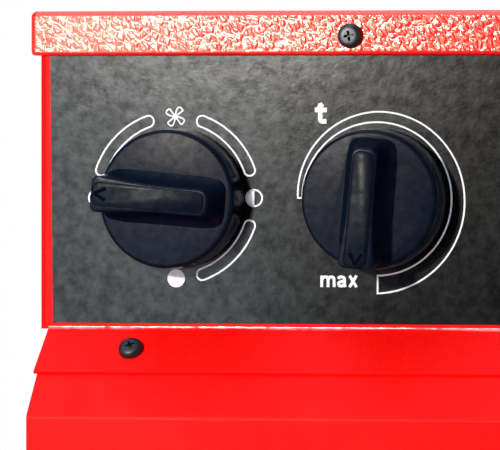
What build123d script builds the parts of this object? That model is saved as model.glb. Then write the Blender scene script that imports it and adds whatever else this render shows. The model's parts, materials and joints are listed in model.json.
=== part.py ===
from build123d import *

import os
from math import atan, atan2, cos, degrees, radians, sin, sqrt

os.makedirs("parts", exist_ok=True)

# Compact forced air heater. Millimetres, +Z up, front of the heater towards -Y, origin on the floor
# under the middle of the object.

# Folded steel casing
SHEET = 1.0
CASE_W = 203.0
CASE_D = 250.0
CASE_H = 223.9
CASE_Z = 60.0
FACET = 27.5
BEND_R = 2.5
FLANGE_W = 10.0
CORNER_R = 1.5
RIM_INSET = 6.0
TRAY_LIP_GAP = 1.0
CABLE_HOLE = (40.0, -40.0)
CABLE_HOLE_R = 14.0

# Control console on the casing's front half
CONSOLE_W = 208.6
CONSOLE_D = 112.5
PANEL_H = 88.1
PANEL_BEND_R = 1.5
LID_RIM_H = 14.4
LID_OVERHANG = 2.5
LID_BEND_R = 2.0
LID_EDGE_R = 1.9
HEM_H = 4.0
HEM_EDGE_R = 1.4
COVER_FLANGE_TOP_INSET = 3.1
COVER_FLANGE_TIP_INSET = 1.7
COVER_FLANGE_DROP = 14.3
COVER_FOOT_SHORTER = 30.0
COVER_TOP_GAP = 0.6
BACK_PLATE_GAP = 0.1
VENT_SLOTS = 5
VENT_LENGTH = 56.0
VENT_WIDTH = 3.5
VENT_PITCH = 8.0
VENT_CENTRE = (38.0, 60.0)
LABEL_T = 0.3
LABEL_INSET_TOP = 3.6
LABEL_INSET_BOTTOM = 4.6
LABEL_GAP_BOTTOM = 1.6
LABEL_UNDER_LID = 4.0

# Rotary controls, measured from the panel's outer face
KNOB_AXIS_BELOW_RIM = 46.3
SELECTOR_FROM_LEFT = 46.0
KNOB_SPACING = 67.0
KNOB_TURN_PAST_MARK = 5.0
KNOB_GAP = 0.9
KNOB_BASE_R = 22.8
KNOB_FACE_R = 22.3
KNOB_SKIRT_H = 12.6
KNOB_EDGE_R = 2.0
KNOB_H = 24.0
KNOB_WALL = 2.2
KNOB_HUB_R = 6.5
BAR_TOP_W = 10.0
BAR_TOP_R = 2.5
BAR_BASE_W = 19.0
BAR_BASE_R = 4.0
BAR_SINK = 1.0
BAR_TIP_TOP = 22.3
BAR_TIP_BASE = 20.9
BAR_TAIL_TOP = 16.5
BAR_TAIL_BASE = 20.0
INSERT_W = 7.2
INSERT_T = 0.8
INSERT_TAIL = 15.4
INSERT_TIP = 21.8
INSERT_R = 1.6
ARROW_TIP = 21.2
ARROW_ARM = 4.0
ARROW_ANGLE = 28.0
ARROW_LINE = 0.45
ARROW_DEPTH = 0.3
SPINDLE_R = 3.0
SPINDLE_FLAT = 1.6
SPINDLE_INTO_KNOB = 15.1
SPINDLE_INTO_SWITCH = 16.0
BORE_BEYOND = 0.5
FIT = 0.05

# Bodies of the controls behind the panel
BUSH_HOLE_R = 5.0
BUSH_R = 4.8
BUSH_OUT = 0.2
SWITCH_W, SWITCH_H, SWITCH_DEPTH, SWITCH_CORNER_R = 38.0, 44.0, 30.0, 3.0
SWITCH_BAND_AT, SWITCH_BAND_T, SWITCH_BAND_OUT, SWITCH_BAND_SHORTER = 8.0, 6.0, 1.0, 16.0
THERMO_W, THERMO_H, THERMO_DEPTH, THERMO_CORNER_R = 34.0, 40.0, 24.0, 2.0
CAPSULE_R, CAPSULE_T = 10.0, 6.0
BLADE_TERMINAL = (0.8, 6.3, 9.0)
SELECTOR_TERMINAL_GRID = (11.0, 20.0, 3, 2)
THERMO_TERMINAL_GRID = (24.0, 31.0, 2, 2)
CAPILLARY_R = 1.0
CAPILLARY_BEND_R = 8.0
CAPILLARY_UNDER_ROOF = 18.0
BULB_R, BULB_L, BULB_OVERLAP = 3.2, 70.0, 0.5
BULB_X, BULB_Y, BULB_TOP_Z = 82.0, 106.0, 245.0

# Pilot lamp and overheat reset beside the knobs
SIDE_CONTROL_X = 70.0
SIDE_CONTROL_RISE = 18.0
LAMP_R = 6.5
LAMP_BEZEL_W = 1.0
LAMP_BEZEL_T = 1.5
LAMP_BORE_R = 4.5
LAMP_TUBE_WALL = 1.2
LAMP_DEPTH = 22.0
LENS_T = 3.0
LENS_EDGE_R = 2.0
CUTOUT_R, CUTOUT_DEPTH, CUTOUT_BORE_DEPTH = 14.0, 18.0, 10.0
CUTOUT_BUSH_OUT = 4.0
CUTOUT_NUT_R = 8.0
CUTOUT_NUT_T = 2.8
RESET_R = 3.0
RESET_OUT = 3.5
RESET_TRAVEL = 2.5
RESET_END_GAP = 0.5
RESET_EDGE_R = 0.8

# Terminal block on the roof inside the console
BLOCK_CENTRE = (-45.0, -22.0)
BLOCK_BASE = (60.0, 18.0, 12.0)
BLOCK_POLE = (7.5, 14.0, 4.0)
BLOCK_POLES, BLOCK_PITCH, BLOCK_ROW_PITCH = 5, 10.0, 8.0
BLOCK_SCREW_R, BLOCK_SCREW_DEPTH = 2.0, 5.0

# Cord inlet gland on the console's back
GLAND_X, GLAND_Z = -52.0, 306.0
GLAND_THREAD_R, GLAND_HOLE_R, GLAND_BORE_R = 10.0, 10.1, 6.5
GLAND_HEX_R, GLAND_HEX_T = 13.0, 5.0
GLAND_THREAD_OUT, GLAND_THREAD_IN = 8.0, 9.0
GLAND_NUT_R, GLAND_NUT_L, GLAND_NUT_DOME_R = 13.0, 14.0, 4.0
GLAND_NUT_GAP, GLAND_NUT_THREAD, GLAND_MOUTH_R = 1.0, 10.0, 5.5
GLAND_GRIPS, GLAND_GRIP_R, GLAND_GRIP_AT, GLAND_GRIP_L = 12, 1.6, 14.2, 9.0
SEAL_BORE_R, SEAL_L = 4.0, 9.0
LOCKNUT_T = 4.0

# Fan section on one axis along Y
AIR_AXIS_Z = 157.0
OUTLET_R = 76.0
INLET_R = 74.0
DUCT_R = 78.0
DUCT_REAR_Y = 87.0
DUCT_FLANGE_R = 85.0
FAN_R = 73.5
FAN_HUB_R = 12.0
FAN_BLADES = 6
FAN_FRONT_Y = 60.0
FAN_REAR_Y = 84.0
BLADE_PITCH = 32.0
BLADE_SHEET = 1.2
BLADE_CHORD = 42.0
BLADE_SAG = 5.0
BLADE_ROOT_SINK = 4.0

# Motor behind the fan
MOTOR_SHAFT_R = 3.0
SHAFT_OUT, SHAFT_IN, SHAFT_CHAMFER = 3.0, 1.0, 0.5
STACK_FRONT_Y = 95.0
STACK_T = 20.0
STACK_HALF_W, STACK_TOP, STACK_BOTTOM, STACK_CORNER_R = 30.0, 25.0, -46.0, 4.0
ROTOR_R = 15.6
STATOR_BORE_R = 16.0
WINDOW_LOW, WINDOW_HIGH, WINDOW_SIDE_GAP = -38.0, -22.0, 1.0
COIL_HALF_W, COIL_BUILD, COIL_END, COIL_TOP_GAP = 15.0, 9.0, 6.0, 3.0
BRIDGE_RISE, BRIDGE_L, BRIDGE_W, BRIDGE_PLATE_T = 7.0, 58.0, 14.0, 2.5
BRIDGE_SPAN, BRIDGE_CORNER_R, BOSS_R, BOSS_GAP = 40.0, 3.0, 7.0, 0.6
THROUGH_SCREW_X, THROUGH_SCREW_R, THROUGH_HOLE_R = 24.0, 2.1, 2.2
THROUGH_NUT_R, THROUGH_NUT_T = 4.2, 3.0
STRAP_T, STRAP_W, STRAP_L, STRAP_CORNER_R = 2.0, 24.0, 188.0, 4.0
STRAP_CROSS_L, STRAP_CROSS_W, STRAP_SHAFT_HOLE_R = 60.0, 16.0, 4.5
STRAP_SCREW_R = 87.0

# Tubular heating elements: ring radius and the ring's place along Y
ELEMENT_R = 4.0
OUTER_RING = (62.0, -72.0)
MIDDLE_RING = (44.0, -56.0)
INNER_RING = (27.0, -40.0)
LEG_X = 13.0
LEG_TOP = 96.0
LEG_BEND_R = 11.0
LEG_HOLE_R = 4.8
COMB_T = 1.5
COMB_ANGLES = (-90.0, 20.0, 160.0)
COMB_HOLE_R = 4.3
COMB_INNER_R = 18.0
COMB_MARGIN = 9.0

# Guards
WIRE_R = 1.25
WIRE_SIDES = 12
WELD = 0.4
SPOKE_R = 1.5
GRILLE_PLATE_R = 84.5
GRILLE_LIP = 3.0
GRILLE_RINGS, GRILLE_RING_PITCH = 6, 10.5
GRILLE_SPOKE_ANGLES = (0.0, 60.0, 120.0)
GRILLE_SCREW_R = 80.0
GUARD_RING_R = 80.0
GUARD_RING_LIFT = 0.15
GUARD_SPOKE_R = 1.1
GUARD_INNER_RINGS = (66.0, 54.0, 42.0, 30.0, 18.0)
GUARD_SPOKES = 12
GUARD_STANDOFF = 9.0
GUARD_SHOULDER_R, GUARD_SPOKE_END_R, GUARD_BEND_R = 72.0, 8.5, 6.0
GUARD_HUB_R, GUARD_HUB_T, GUARD_HUB_SINK = 12.0, 2.0, 0.2
GUARD_TAB_R = 86.0
GUARD_TABS, GUARD_TAB_ANGLE = 4, 45.0
GUARD_TAB_T = 1.5
GUARD_TAB_HALF_W = 5.5

# Stand, clamps and handle
PIVOT_Z = 168.0
TUBE_R = 8.0
TUBE_WALL = 1.5
TUBE_WELD = 1.0
TUBE_END_T = 3.0
YOKE_X = 113.5
YOKE_BEND_R = 35.0
RISER_BELOW_PIVOT = 26.0
FOOT_X = 85.0
FOOT_CAP_Z = 12.0
FOOT_CAP_R = 12.5
CAP_LENGTH = 28.0
CAP_DEPTH = 20.0
STAND_HALF_D = 140.0
LUG_T = 4.0
LUG_R = 12.0
LUG_L = 38.0
WASHER_T = 4.0
WASHER_R = 13.0
NUT_R, NUT_T = 8.0, 6.0
STUD_R = 4.0
STUD_HOLE_R = 4.3
STUD_IN = 10.0
STUD_HEAD_GAP = 4.0
CLAMP_R = 18.0
CLAMP_T = 15.0
CLAMP_GAP = 0.5
CLAMP_LOBES, CLAMP_LOBE_R, CLAMP_EDGE_R = 6, 4.5, 1.5
HANDLE_Y = 70.0
HANDLE_HALF_W = 70.0
HANDLE_H = 57.1
HANDLE_TUBE_R = 7.0
HANDLE_BEND_R = 22.0
HANDLE_PAD = (46.0, 18.0, 3.0)
HANDLE_SCREW_PITCH = 15.0
GRIP_R = 12.5
GRIP_HALF_L = 42.0
GRIP_EDGE_R = 2.5

# Screws
SCREW_HEAD_R = 4.0
SCREW_HEAD_H = 2.6
SCREW_EDGE_H = 0.87
SCREW_SHOULDER_R, SCREW_SHOULDER_H = 3.2, 2.03
SCREW_R = 1.95
SCREW_L = 9.0
SCREW_HOLE_R = 2.0
DRILL_DEPTH = 6.0
SCREW_CROSS_L, SCREW_CROSS_W, SCREW_CROSS_Z = 4.2, 0.9, 1.2
LID_SCREW_ABOVE_RIM_EDGE = 6.2
FLANGE_SCREW_X = 71.7
FLANGE_SCREW_DOWN = 7.0
CONSOLE_SIDE_SCREW_RISES = (20.0, 65.0)
ROOF_SCREW_YS = (40.0, 105.0)
BOTTOM_SCREW_Y = 90.0
REAR_SCREW_INSET = 12.0

# Levels worked out from the driving sizes
SIDE_X = CASE_W / 2
FRONT_Y = -CASE_D / 2
BACK_Y = CASE_D / 2
ROOF_Z = CASE_Z + CASE_H
CREASE_Z = ROOF_Z - FACET
FACET_TOP_Y = FRONT_Y + FACET
RIM_SCREW_X = SIDE_X - RIM_INSET
PANEL_Y = FACET_TOP_Y - SHEET
PANEL_INNER_Y = PANEL_Y + SHEET
CONSOLE_X = CONSOLE_W / 2
CONSOLE_MIDDLE_Y = PANEL_Y + CONSOLE_D / 2
CONSOLE_BACK_Y = PANEL_Y + CONSOLE_D
CONSOLE_SIDE_SCREW_Y = CONSOLE_BACK_Y - RIM_INSET
BEND_Z = ROOF_Z + SHEET * (sqrt(2) - 1)
RIM_Z = BEND_Z + PANEL_H
LID_TOP_Z = RIM_Z + LID_RIM_H
LID_X = CONSOLE_X + LID_OVERHANG
LID_FRONT_Y = PANEL_Y - LID_OVERHANG
LID_BACK_Y = CONSOLE_BACK_Y + LID_OVERHANG
LID_D = LID_BACK_Y - LID_FRONT_Y
COVER_TOP_Z = LID_TOP_Z - SHEET - COVER_TOP_GAP
LID_SCREW_Z = RIM_Z + LID_SCREW_ABOVE_RIM_EDGE
KNOB_Z = RIM_Z - KNOB_AXIS_BELOW_RIM
SELECTOR_X = -CONSOLE_X + SELECTOR_FROM_LEFT
THERMOSTAT_X = SELECTOR_X + KNOB_SPACING
SELECTOR_TURN = 180.0 - KNOB_TURN_PAST_MARK
THERMOSTAT_TURN = 270.0 - KNOB_TURN_PAST_MARK
LAMP_Z = KNOB_Z + SIDE_CONTROL_RISE
RESET_Z = KNOB_Z - SIDE_CONTROL_RISE
LABEL_Y = PANEL_Y - LABEL_T
KNOB_BASE_Y = LABEL_Y - KNOB_GAP
SWITCH_BACK_Y = PANEL_INNER_Y + SWITCH_DEPTH
THERMO_BACK_Y = PANEL_INNER_Y + THERMO_DEPTH
STACK_REAR_Y = STACK_FRONT_Y + STACK_T
STRAP_FRONT_Y = BACK_Y - SHEET - STRAP_T
BRIDGE_FRONT_Y = STACK_FRONT_Y - BRIDGE_RISE
GRIP_Z = ROOF_Z + HANDLE_H
LUG_X = SIDE_X + WASHER_T
CLAMP_FROM_SIDE = WASHER_T + LUG_T + CLAMP_GAP
YOKE_Z = FOOT_CAP_Z + 2 * TUBE_R - TUBE_WELD
RISER_TOP_Z = PIVOT_Z - RISER_BELOW_PIVOT
FOOT_BAR_END_Y = STAND_HALF_D - CAP_LENGTH + CAP_DEPTH

# Working planes: outward normals, towards the user on the front and away from them on the back
OUTLET_PLANE = Plane(origin=(0, FRONT_Y, AIR_AXIS_Z), x_dir=(1, 0, 0), z_dir=(0, -1, 0))
INLET_PLANE = Plane(origin=(0, BACK_Y, AIR_AXIS_Z), x_dir=(1, 0, 0), z_dir=(0, 1, 0))
PANEL_PLANE = Plane(origin=(0, PANEL_Y, 0), x_dir=(1, 0, 0), z_dir=(0, -1, 0))
FACET_PLANE = Plane(origin=(0, FACET_TOP_Y, ROOF_Z), x_dir=(1, 0, 0), z_dir=(0, -1, 1))
GLAND_PLANE = Plane(origin=(GLAND_X, CONSOLE_BACK_Y, GLAND_Z), x_dir=(1, 0, 0), z_dir=(0, 1, 0))
SIDE_PROFILE = Plane(origin=(0, 0, 0), x_dir=(0, 1, 0), z_dir=(1, 0, 0))
AIR_AXIS = Axis((0, 0, AIR_AXIS_Z), (0, 1, 0))


def control_plane(x, y, z=KNOB_Z, turn=0.0):
    """Plane across a control's axis, its normal towards the user and its X along the pointer."""
    pointer = (cos(radians(turn)), 0, sin(radians(turn)))
    return Plane(origin=(x, y, z), x_dir=pointer, z_dir=(0, -1, 0))


def axis_plane(y):
    """Plane across the air axis, its normal towards the back."""
    return Plane(origin=(0, y, AIR_AXIS_Z), x_dir=(-1, 0, 0), z_dir=(0, 1, 0))


def radial_plane(angle, y):
    """Plane that holds the air axis: local X points outwards at the angle, local Y along the axis."""
    out = Vector(cos(radians(angle)), 0, sin(radians(angle)))
    return Plane(origin=(0, y, AIR_AXIS_Z), x_dir=out, z_dir=out.cross(Vector(0, 1, 0)))


def rear_planes(points, y=BACK_Y):
    """Screw seats on the back, one at each x, z."""
    return [Plane(origin=(x, y, z), x_dir=(1, 0, 0), z_dir=(0, 1, 0)) for x, z in points]


def diagonal_points(radius):
    """Four points on a circle round the air axis, at 45 degrees."""
    step = radius / sqrt(2)
    return [(x, AIR_AXIS_Z + z) for x in (-step, step) for z in (-step, step)]


# Where the fasteners go: each plane has its normal pointing out of the head
lid_screw_planes = [
    Plane(origin=(0, LID_FRONT_Y, LID_SCREW_Z), z_dir=(0, -1, 0)),
    Plane(origin=(0, LID_BACK_Y, LID_SCREW_Z), z_dir=(0, 1, 0)),
]
flange_screw_planes = [
    Plane(
        origin=(x, PANEL_Y - FLANGE_SCREW_DOWN, BEND_Z - FLANGE_SCREW_DOWN),
        x_dir=(1, 0, 0),
        z_dir=(0, -1, 1),
    )
    for x in (-FLANGE_SCREW_X, FLANGE_SCREW_X)
]
console_side_planes = [
    Plane(origin=(side * CONSOLE_X, CONSOLE_SIDE_SCREW_Y, ROOF_Z + rise), z_dir=(side, 0, 0))
    for side in (-1, 1)
    for rise in CONSOLE_SIDE_SCREW_RISES
]
grille_screw_planes = [
    Plane(origin=(x, FRONT_Y - SHEET, z), x_dir=(1, 0, 0), z_dir=(0, -1, 0))
    for x, z in diagonal_points(GRILLE_SCREW_R)
]
guard_screw_planes = rear_planes(diagonal_points(GUARD_TAB_R), BACK_Y + GUARD_TAB_T)
rear_screw_planes = rear_planes(
    [
        (x, z)
        for x in (-RIM_SCREW_X, RIM_SCREW_X)
        for z in (CASE_Z + REAR_SCREW_INSET, ROOF_Z - REAR_SCREW_INSET)
    ]
)
strap_screw_planes = rear_planes([(0, AIR_AXIS_Z - STRAP_SCREW_R), (0, AIR_AXIS_Z + STRAP_SCREW_R)])
bottom_screw_planes = [
    Plane(origin=(x, y, CASE_Z), x_dir=(1, 0, 0), z_dir=(0, 0, -1))
    for x in (-RIM_SCREW_X, RIM_SCREW_X)
    for y in (-BOTTOM_SCREW_Y, BOTTOM_SCREW_Y)
]
roof_screw_planes = [
    Plane(origin=(x, y, ROOF_Z), x_dir=(1, 0, 0), z_dir=(0, 0, 1))
    for x in (-RIM_SCREW_X, RIM_SCREW_X)
    for y in ROOF_SCREW_YS
]
handle_screw_planes = [
    Plane(origin=(x, y, ROOF_Z + HANDLE_PAD[2]), x_dir=(1, 0, 0), z_dir=(0, 0, 1))
    for x in (-HANDLE_HALF_W, HANDLE_HALF_W)
    for y in (HANDLE_Y - HANDLE_SCREW_PITCH, HANDLE_Y + HANDLE_SCREW_PITCH)
]
pivot_planes = [Plane(origin=(side * SIDE_X, 0, PIVOT_Z), z_dir=(side, 0, 0)) for side in (-1, 1)]

# Pan-head cross-recess screw, its head's seat on the XY plane and its shank downwards
with BuildPart() as pan_screw:
    with BuildSketch(Plane.XZ):
        with BuildLine():
            head_edge = (SCREW_HEAD_R, SCREW_EDGE_H)
            Polyline(
                (0, SCREW_HEAD_H),
                (0, -SCREW_L),
                (SCREW_R, -SCREW_L),
                (SCREW_R, 0),
                (SCREW_HEAD_R, 0),
                head_edge,
            )
            ThreePointArc(head_edge, (SCREW_SHOULDER_R, SCREW_SHOULDER_H), (0, SCREW_HEAD_H))
        make_face()
    revolve(axis=Axis.Z)
    with BuildSketch(Plane.XY.offset(SCREW_CROSS_Z)):
        Rectangle(SCREW_CROSS_L, SCREW_CROSS_W)
        Rectangle(SCREW_CROSS_W, SCREW_CROSS_L)
    extrude(amount=SCREW_HEAD_H, mode=Mode.SUBTRACT)


def drill(planes, radius, depth=DRILL_DEPTH):
    """Cut one round hole through the current part at each plane, depth to both sides of it."""
    for plane in planes:
        with BuildSketch(plane) as hole:
            Circle(radius)
        extrude(hole.sketch, amount=depth, both=True, mode=Mode.SUBTRACT)


def screw_group(planes):
    """Separate screws of one size, one at each plane."""
    with BuildPart() as group:
        with Locations(*[plane.location for plane in planes]):
            add(pan_screw.part)
    return group


# Front face, 45 degree facet and roof are one folded sheet
with BuildPart() as front_wrap:
    with BuildSketch(SIDE_PROFILE):
        with BuildLine():
            FilletPolyline(
                (FRONT_Y, CASE_Z),
                (FRONT_Y, CREASE_Z),
                (FACET_TOP_Y, ROOF_Z),
                (BACK_Y - SHEET, ROOF_Z),
                radius=BEND_R,
            )
            offset(amount=SHEET, side=Side.RIGHT)
        make_face()
    extrude(amount=SIDE_X, both=True)
    drill([OUTLET_PLANE], OUTLET_R)
    drill([Plane(origin=(*CABLE_HOLE, ROOF_Z))], CABLE_HOLE_R)
    drill(grille_screw_planes + flange_screw_planes + roof_screw_planes + handle_screw_planes, SCREW_HOLE_R)
front_wrap.part.label = "front_wrap"
export_step(front_wrap.part, "parts/front_wrap.step")


def side_panel(side):
    """Side of the casing: a shallow tray whose rim is folded inwards under the wrap."""
    facet_line = ROOF_Z - FACET_TOP_Y - SHEET * sqrt(2)
    front, back, low, high = FRONT_Y + SHEET, BACK_Y - SHEET, CASE_Z + SHEET, ROOF_Z - SHEET
    with BuildPart() as panel:
        with BuildSketch(SIDE_PROFILE.offset(side * SIDE_X)):
            with BuildLine():
                Polyline(
                    (front, low),
                    (front, front + facet_line),
                    (high - facet_line, high),
                    (back, high),
                    (back, low),
                    close=True,
                )
            make_face()
            fillet(vertices(), radius=BEND_R + FIT)
        extrude(amount=-side * (FLANGE_W + SHEET))
        offset(amount=-SHEET, openings=panel.faces().sort_by(Axis.X)[0 if side > 0 else -1])
        rim_screws = roof_screw_planes + rear_screw_planes + bottom_screw_planes
        drill([plane for plane in rim_screws if plane.origin.X * side > 0], SCREW_HOLE_R)
        drill([plane for plane in pivot_planes if plane.origin.X * side > 0], STUD_HOLE_R)
    return panel


left_side_panel = side_panel(-1)
left_side_panel.part.label = "left_side_panel"
export_step(left_side_panel.part, "parts/left_side_panel.step")

right_side_panel = side_panel(1)
right_side_panel.part.label = "right_side_panel"
export_step(right_side_panel.part, "parts/right_side_panel.step")

# Bottom of the casing, its front edge turned up behind the front face
with BuildPart() as base_tray:
    with BuildSketch(Plane.XY.offset(CASE_Z)):
        Rectangle(CASE_W, CASE_D - 2 * SHEET)
    extrude(amount=SHEET)
    with BuildSketch(Plane.XY.offset(CASE_Z)):
        with Locations((0, FRONT_Y + 1.5 * SHEET)):
            Rectangle(2 * (SIDE_X - SHEET - FLANGE_W - TRAY_LIP_GAP), SHEET)
    extrude(amount=FLANGE_W)
    drill(bottom_screw_planes, SCREW_HOLE_R)
base_tray.part.label = "base_tray"
export_step(base_tray.part, "parts/base_tray.step")

# Back of the casing, with the round air inlet
with BuildPart() as rear_panel:
    with BuildSketch(INLET_PLANE):
        with Locations((0, AIR_AXIS_Z - CASE_Z - CASE_H / 2)):
            RectangleRounded(CASE_W, CASE_H, CORNER_R)
        Circle(INLET_R, mode=Mode.SUBTRACT)
    extrude(amount=-SHEET)
    drill(guard_screw_planes + rear_screw_planes + strap_screw_planes, SCREW_HOLE_R)
rear_panel.part.label = "rear_panel"
export_step(rear_panel.part, "parts/rear_panel.step")

# Seats of the controls on the panel: both knobs, the lamp and the reset button
control_seats = [
    control_plane(SELECTOR_X, PANEL_Y),
    control_plane(THERMOSTAT_X, PANEL_Y),
    control_plane(SIDE_CONTROL_X, PANEL_Y, LAMP_Z),
    control_plane(SIDE_CONTROL_X, PANEL_Y, RESET_Z),
]

# Console cover: front panel with its sides bent back, and a foot flange that lies on the casing's facet
with BuildPart() as console_cover:
    with BuildSketch(Plane.XY.offset(ROOF_Z)):
        with Locations((0, CONSOLE_MIDDLE_Y)):
            Rectangle(CONSOLE_W, CONSOLE_D)
        fillet(vertices().group_by(Axis.Y)[0], radius=BEND_R)
    extrude(amount=COVER_TOP_Z - ROOF_Z)
    walls = console_cover.faces()
    offset(
        amount=-SHEET,
        openings=[walls.sort_by(Axis.Z)[0], walls.sort_by(Axis.Z)[-1], walls.sort_by(Axis.Y)[-1]],
    )
    with BuildSketch(FACET_PLANE):
        slant = COVER_FLANGE_DROP * sqrt(2)
        top_x = CONSOLE_X - COVER_FLANGE_TOP_INSET
        tip_x = CONSOLE_X - COVER_FLANGE_TIP_INSET
        Polygon((-top_x, 0), (-tip_x, -slant), (tip_x, -slant), (top_x, 0), align=None)
    extrude(amount=SHEET)
    with BuildSketch(Plane.XY.offset(ROOF_Z)):
        for side in (-1, 1):
            with Locations((side * (CONSOLE_X - SHEET / 2 - FLANGE_W / 2), CONSOLE_MIDDLE_Y)):
                Rectangle(FLANGE_W, CONSOLE_D - COVER_FOOT_SHORTER)
    extrude(amount=SHEET)
    bend_line = console_cover.edges().filter_by(Axis.X).sort_by_distance((0, PANEL_Y, BEND_Z))[0]
    fillet(bend_line, radius=PANEL_BEND_R)
    drill(control_seats, BUSH_HOLE_R)
    drill([lid_screw_planes[0]] + flange_screw_planes + console_side_planes, SCREW_HOLE_R)
console_cover.part.label = "console_cover"
export_step(console_cover.part, "parts/console_cover.step")

# Console back plate, its side edges bent forward inside the cover, with a field of cooling slots
with BuildPart() as console_back:
    back_x = CONSOLE_X - SHEET - BACK_PLATE_GAP
    with BuildSketch(Plane.XY.offset(ROOF_Z)):
        with Locations((0, CONSOLE_BACK_Y - SHEET / 2)):
            Rectangle(2 * back_x, SHEET)
        for side in (-1, 1):
            with Locations((side * (back_x - SHEET / 2), CONSOLE_BACK_Y - FLANGE_W / 2)):
                Rectangle(SHEET, FLANGE_W)
    extrude(amount=COVER_TOP_Z - ROOF_Z)
    with BuildSketch(Plane(origin=(0, CONSOLE_BACK_Y, ROOF_Z), x_dir=(-1, 0, 0), z_dir=(0, 1, 0))):
        with Locations((-VENT_CENTRE[0], VENT_CENTRE[1] - (VENT_SLOTS - 1) * VENT_PITCH / 2)):
            with GridLocations(0, VENT_PITCH, 1, VENT_SLOTS):
                SlotOverall(VENT_LENGTH, VENT_WIDTH)
    extrude(amount=-SHEET, mode=Mode.SUBTRACT)
    drill([GLAND_PLANE], GLAND_HOLE_R)
    drill([lid_screw_planes[1]] + console_side_planes, SCREW_HOLE_R)
console_back.part.label = "console_back"
export_step(console_back.part, "parts/console_back.step")

# Lid: a shallow folded box over the console, its rim hemmed inwards
with BuildPart() as console_lid:
    with BuildSketch(Plane.XY.offset(RIM_Z)):
        with Locations((0, CONSOLE_MIDDLE_Y)):
            RectangleRounded(2 * LID_X, LID_D, LID_BEND_R)
    extrude(amount=LID_RIM_H)
    fillet(console_lid.faces().sort_by(Axis.Z)[-1].edges(), radius=LID_EDGE_R)
    fillet(console_lid.faces().sort_by(Axis.Z)[0].edges(), radius=HEM_EDGE_R)
    with BuildSketch(Plane.XY.offset(RIM_Z + HEM_H)):
        with Locations((0, CONSOLE_MIDDLE_Y)):
            RectangleRounded(2 * (LID_X - SHEET), LID_D - 2 * SHEET, SHEET)
    extrude(amount=LID_RIM_H - HEM_H - SHEET, mode=Mode.SUBTRACT)
    with BuildSketch(Plane.XY.offset(RIM_Z)):
        with Locations((0, CONSOLE_MIDDLE_Y)):
            RectangleRounded(2 * (LID_X - 2 * SHEET), LID_D - 4 * SHEET, SHEET)
    extrude(amount=HEM_H, mode=Mode.SUBTRACT)
    drill(lid_screw_planes, SCREW_HOLE_R)
console_lid.part.label = "console_lid"
export_step(console_lid.part, "parts/console_lid.step")

# Black label on the panel, its left and right edges slightly out of square
with BuildPart() as control_label:
    low_z, high_z = BEND_Z + LABEL_GAP_BOTTOM, RIM_Z + LABEL_UNDER_LID
    low_x, high_x = CONSOLE_X - LABEL_INSET_BOTTOM, CONSOLE_X - LABEL_INSET_TOP
    with BuildSketch(PANEL_PLANE):
        Polygon((-low_x, low_z), (low_x, low_z), (high_x, high_z), (-high_x, high_z), align=None)
    extrude(amount=LABEL_T)
    drill(control_seats, BUSH_HOLE_R)
control_label.part.label = "control_label"
export_step(control_label.part, "parts/control_label.step")


def knob(turn, x):
    """Round knob with a finger bar across it; the bar leans out over its tip and points at the scale."""
    base = control_plane(x, KNOB_BASE_Y, turn=turn)
    draft_angle = degrees(atan((KNOB_BASE_R - KNOB_FACE_R) / KNOB_SKIRT_H))
    with BuildPart() as body:
        with BuildSketch(base):
            Circle(KNOB_BASE_R)
        extrude(amount=KNOB_SKIRT_H, taper=draft_angle)
        fillet(body.faces().sort_by(Axis.Y)[0].edges(), radius=KNOB_EDGE_R)
        with BuildSketch(base.offset(KNOB_SKIRT_H - BAR_SINK)):
            with Locations(((BAR_TIP_BASE - BAR_TAIL_BASE) / 2, 0)):
                RectangleRounded(BAR_TIP_BASE + BAR_TAIL_BASE, BAR_BASE_W, BAR_BASE_R)
        with BuildSketch(base.offset(KNOB_H)):
            with Locations(((BAR_TIP_TOP - BAR_TAIL_TOP) / 2, 0)):
                RectangleRounded(BAR_TIP_TOP + BAR_TAIL_TOP, BAR_TOP_W, BAR_TOP_R)
        loft()
        with BuildSketch(base.offset(KNOB_H)):
            with Locations(((INSERT_TIP - INSERT_TAIL) / 2, 0)):
                RectangleRounded(INSERT_TIP + INSERT_TAIL, INSERT_W, INSERT_R)
        extrude(amount=-INSERT_T, mode=Mode.SUBTRACT)
        with BuildSketch(base):
            Circle(KNOB_FACE_R - KNOB_WALL)
            Circle(KNOB_HUB_R, mode=Mode.SUBTRACT)
        extrude(amount=KNOB_SKIRT_H - KNOB_WALL, mode=Mode.SUBTRACT)
        with BuildSketch(base):
            Circle(SPINDLE_R + FIT)
            with Locations((0, SPINDLE_FLAT + FIT + SPINDLE_R)):
                Rectangle(4 * SPINDLE_R, 2 * SPINDLE_R, mode=Mode.SUBTRACT)
        extrude(amount=SPINDLE_INTO_KNOB + BORE_BEYOND, mode=Mode.SUBTRACT)
    return body


def knob_insert(turn, x):
    """Slim strip let into the bar's top, with an arrow head engraved near the tip."""
    base = control_plane(x, KNOB_BASE_Y, turn=turn)
    with BuildPart() as strip:
        with BuildSketch(base.offset(KNOB_H)):
            with Locations(((INSERT_TIP - INSERT_TAIL) / 2, 0)):
                RectangleRounded(INSERT_TIP + INSERT_TAIL - 2 * FIT, INSERT_W - 2 * FIT, INSERT_R - FIT)
        extrude(amount=-INSERT_T)
        with BuildSketch(base.offset(KNOB_H)):
            for side in (-1, 1):
                arm_x = ARROW_TIP - ARROW_ARM / 2 * cos(radians(ARROW_ANGLE))
                arm_y = side * ARROW_ARM / 2 * sin(radians(ARROW_ANGLE))
                with Locations((arm_x, arm_y)):
                    Rectangle(ARROW_ARM, ARROW_LINE, rotation=-side * ARROW_ANGLE)
        extrude(amount=-ARROW_DEPTH, mode=Mode.SUBTRACT)
    return strip


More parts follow.
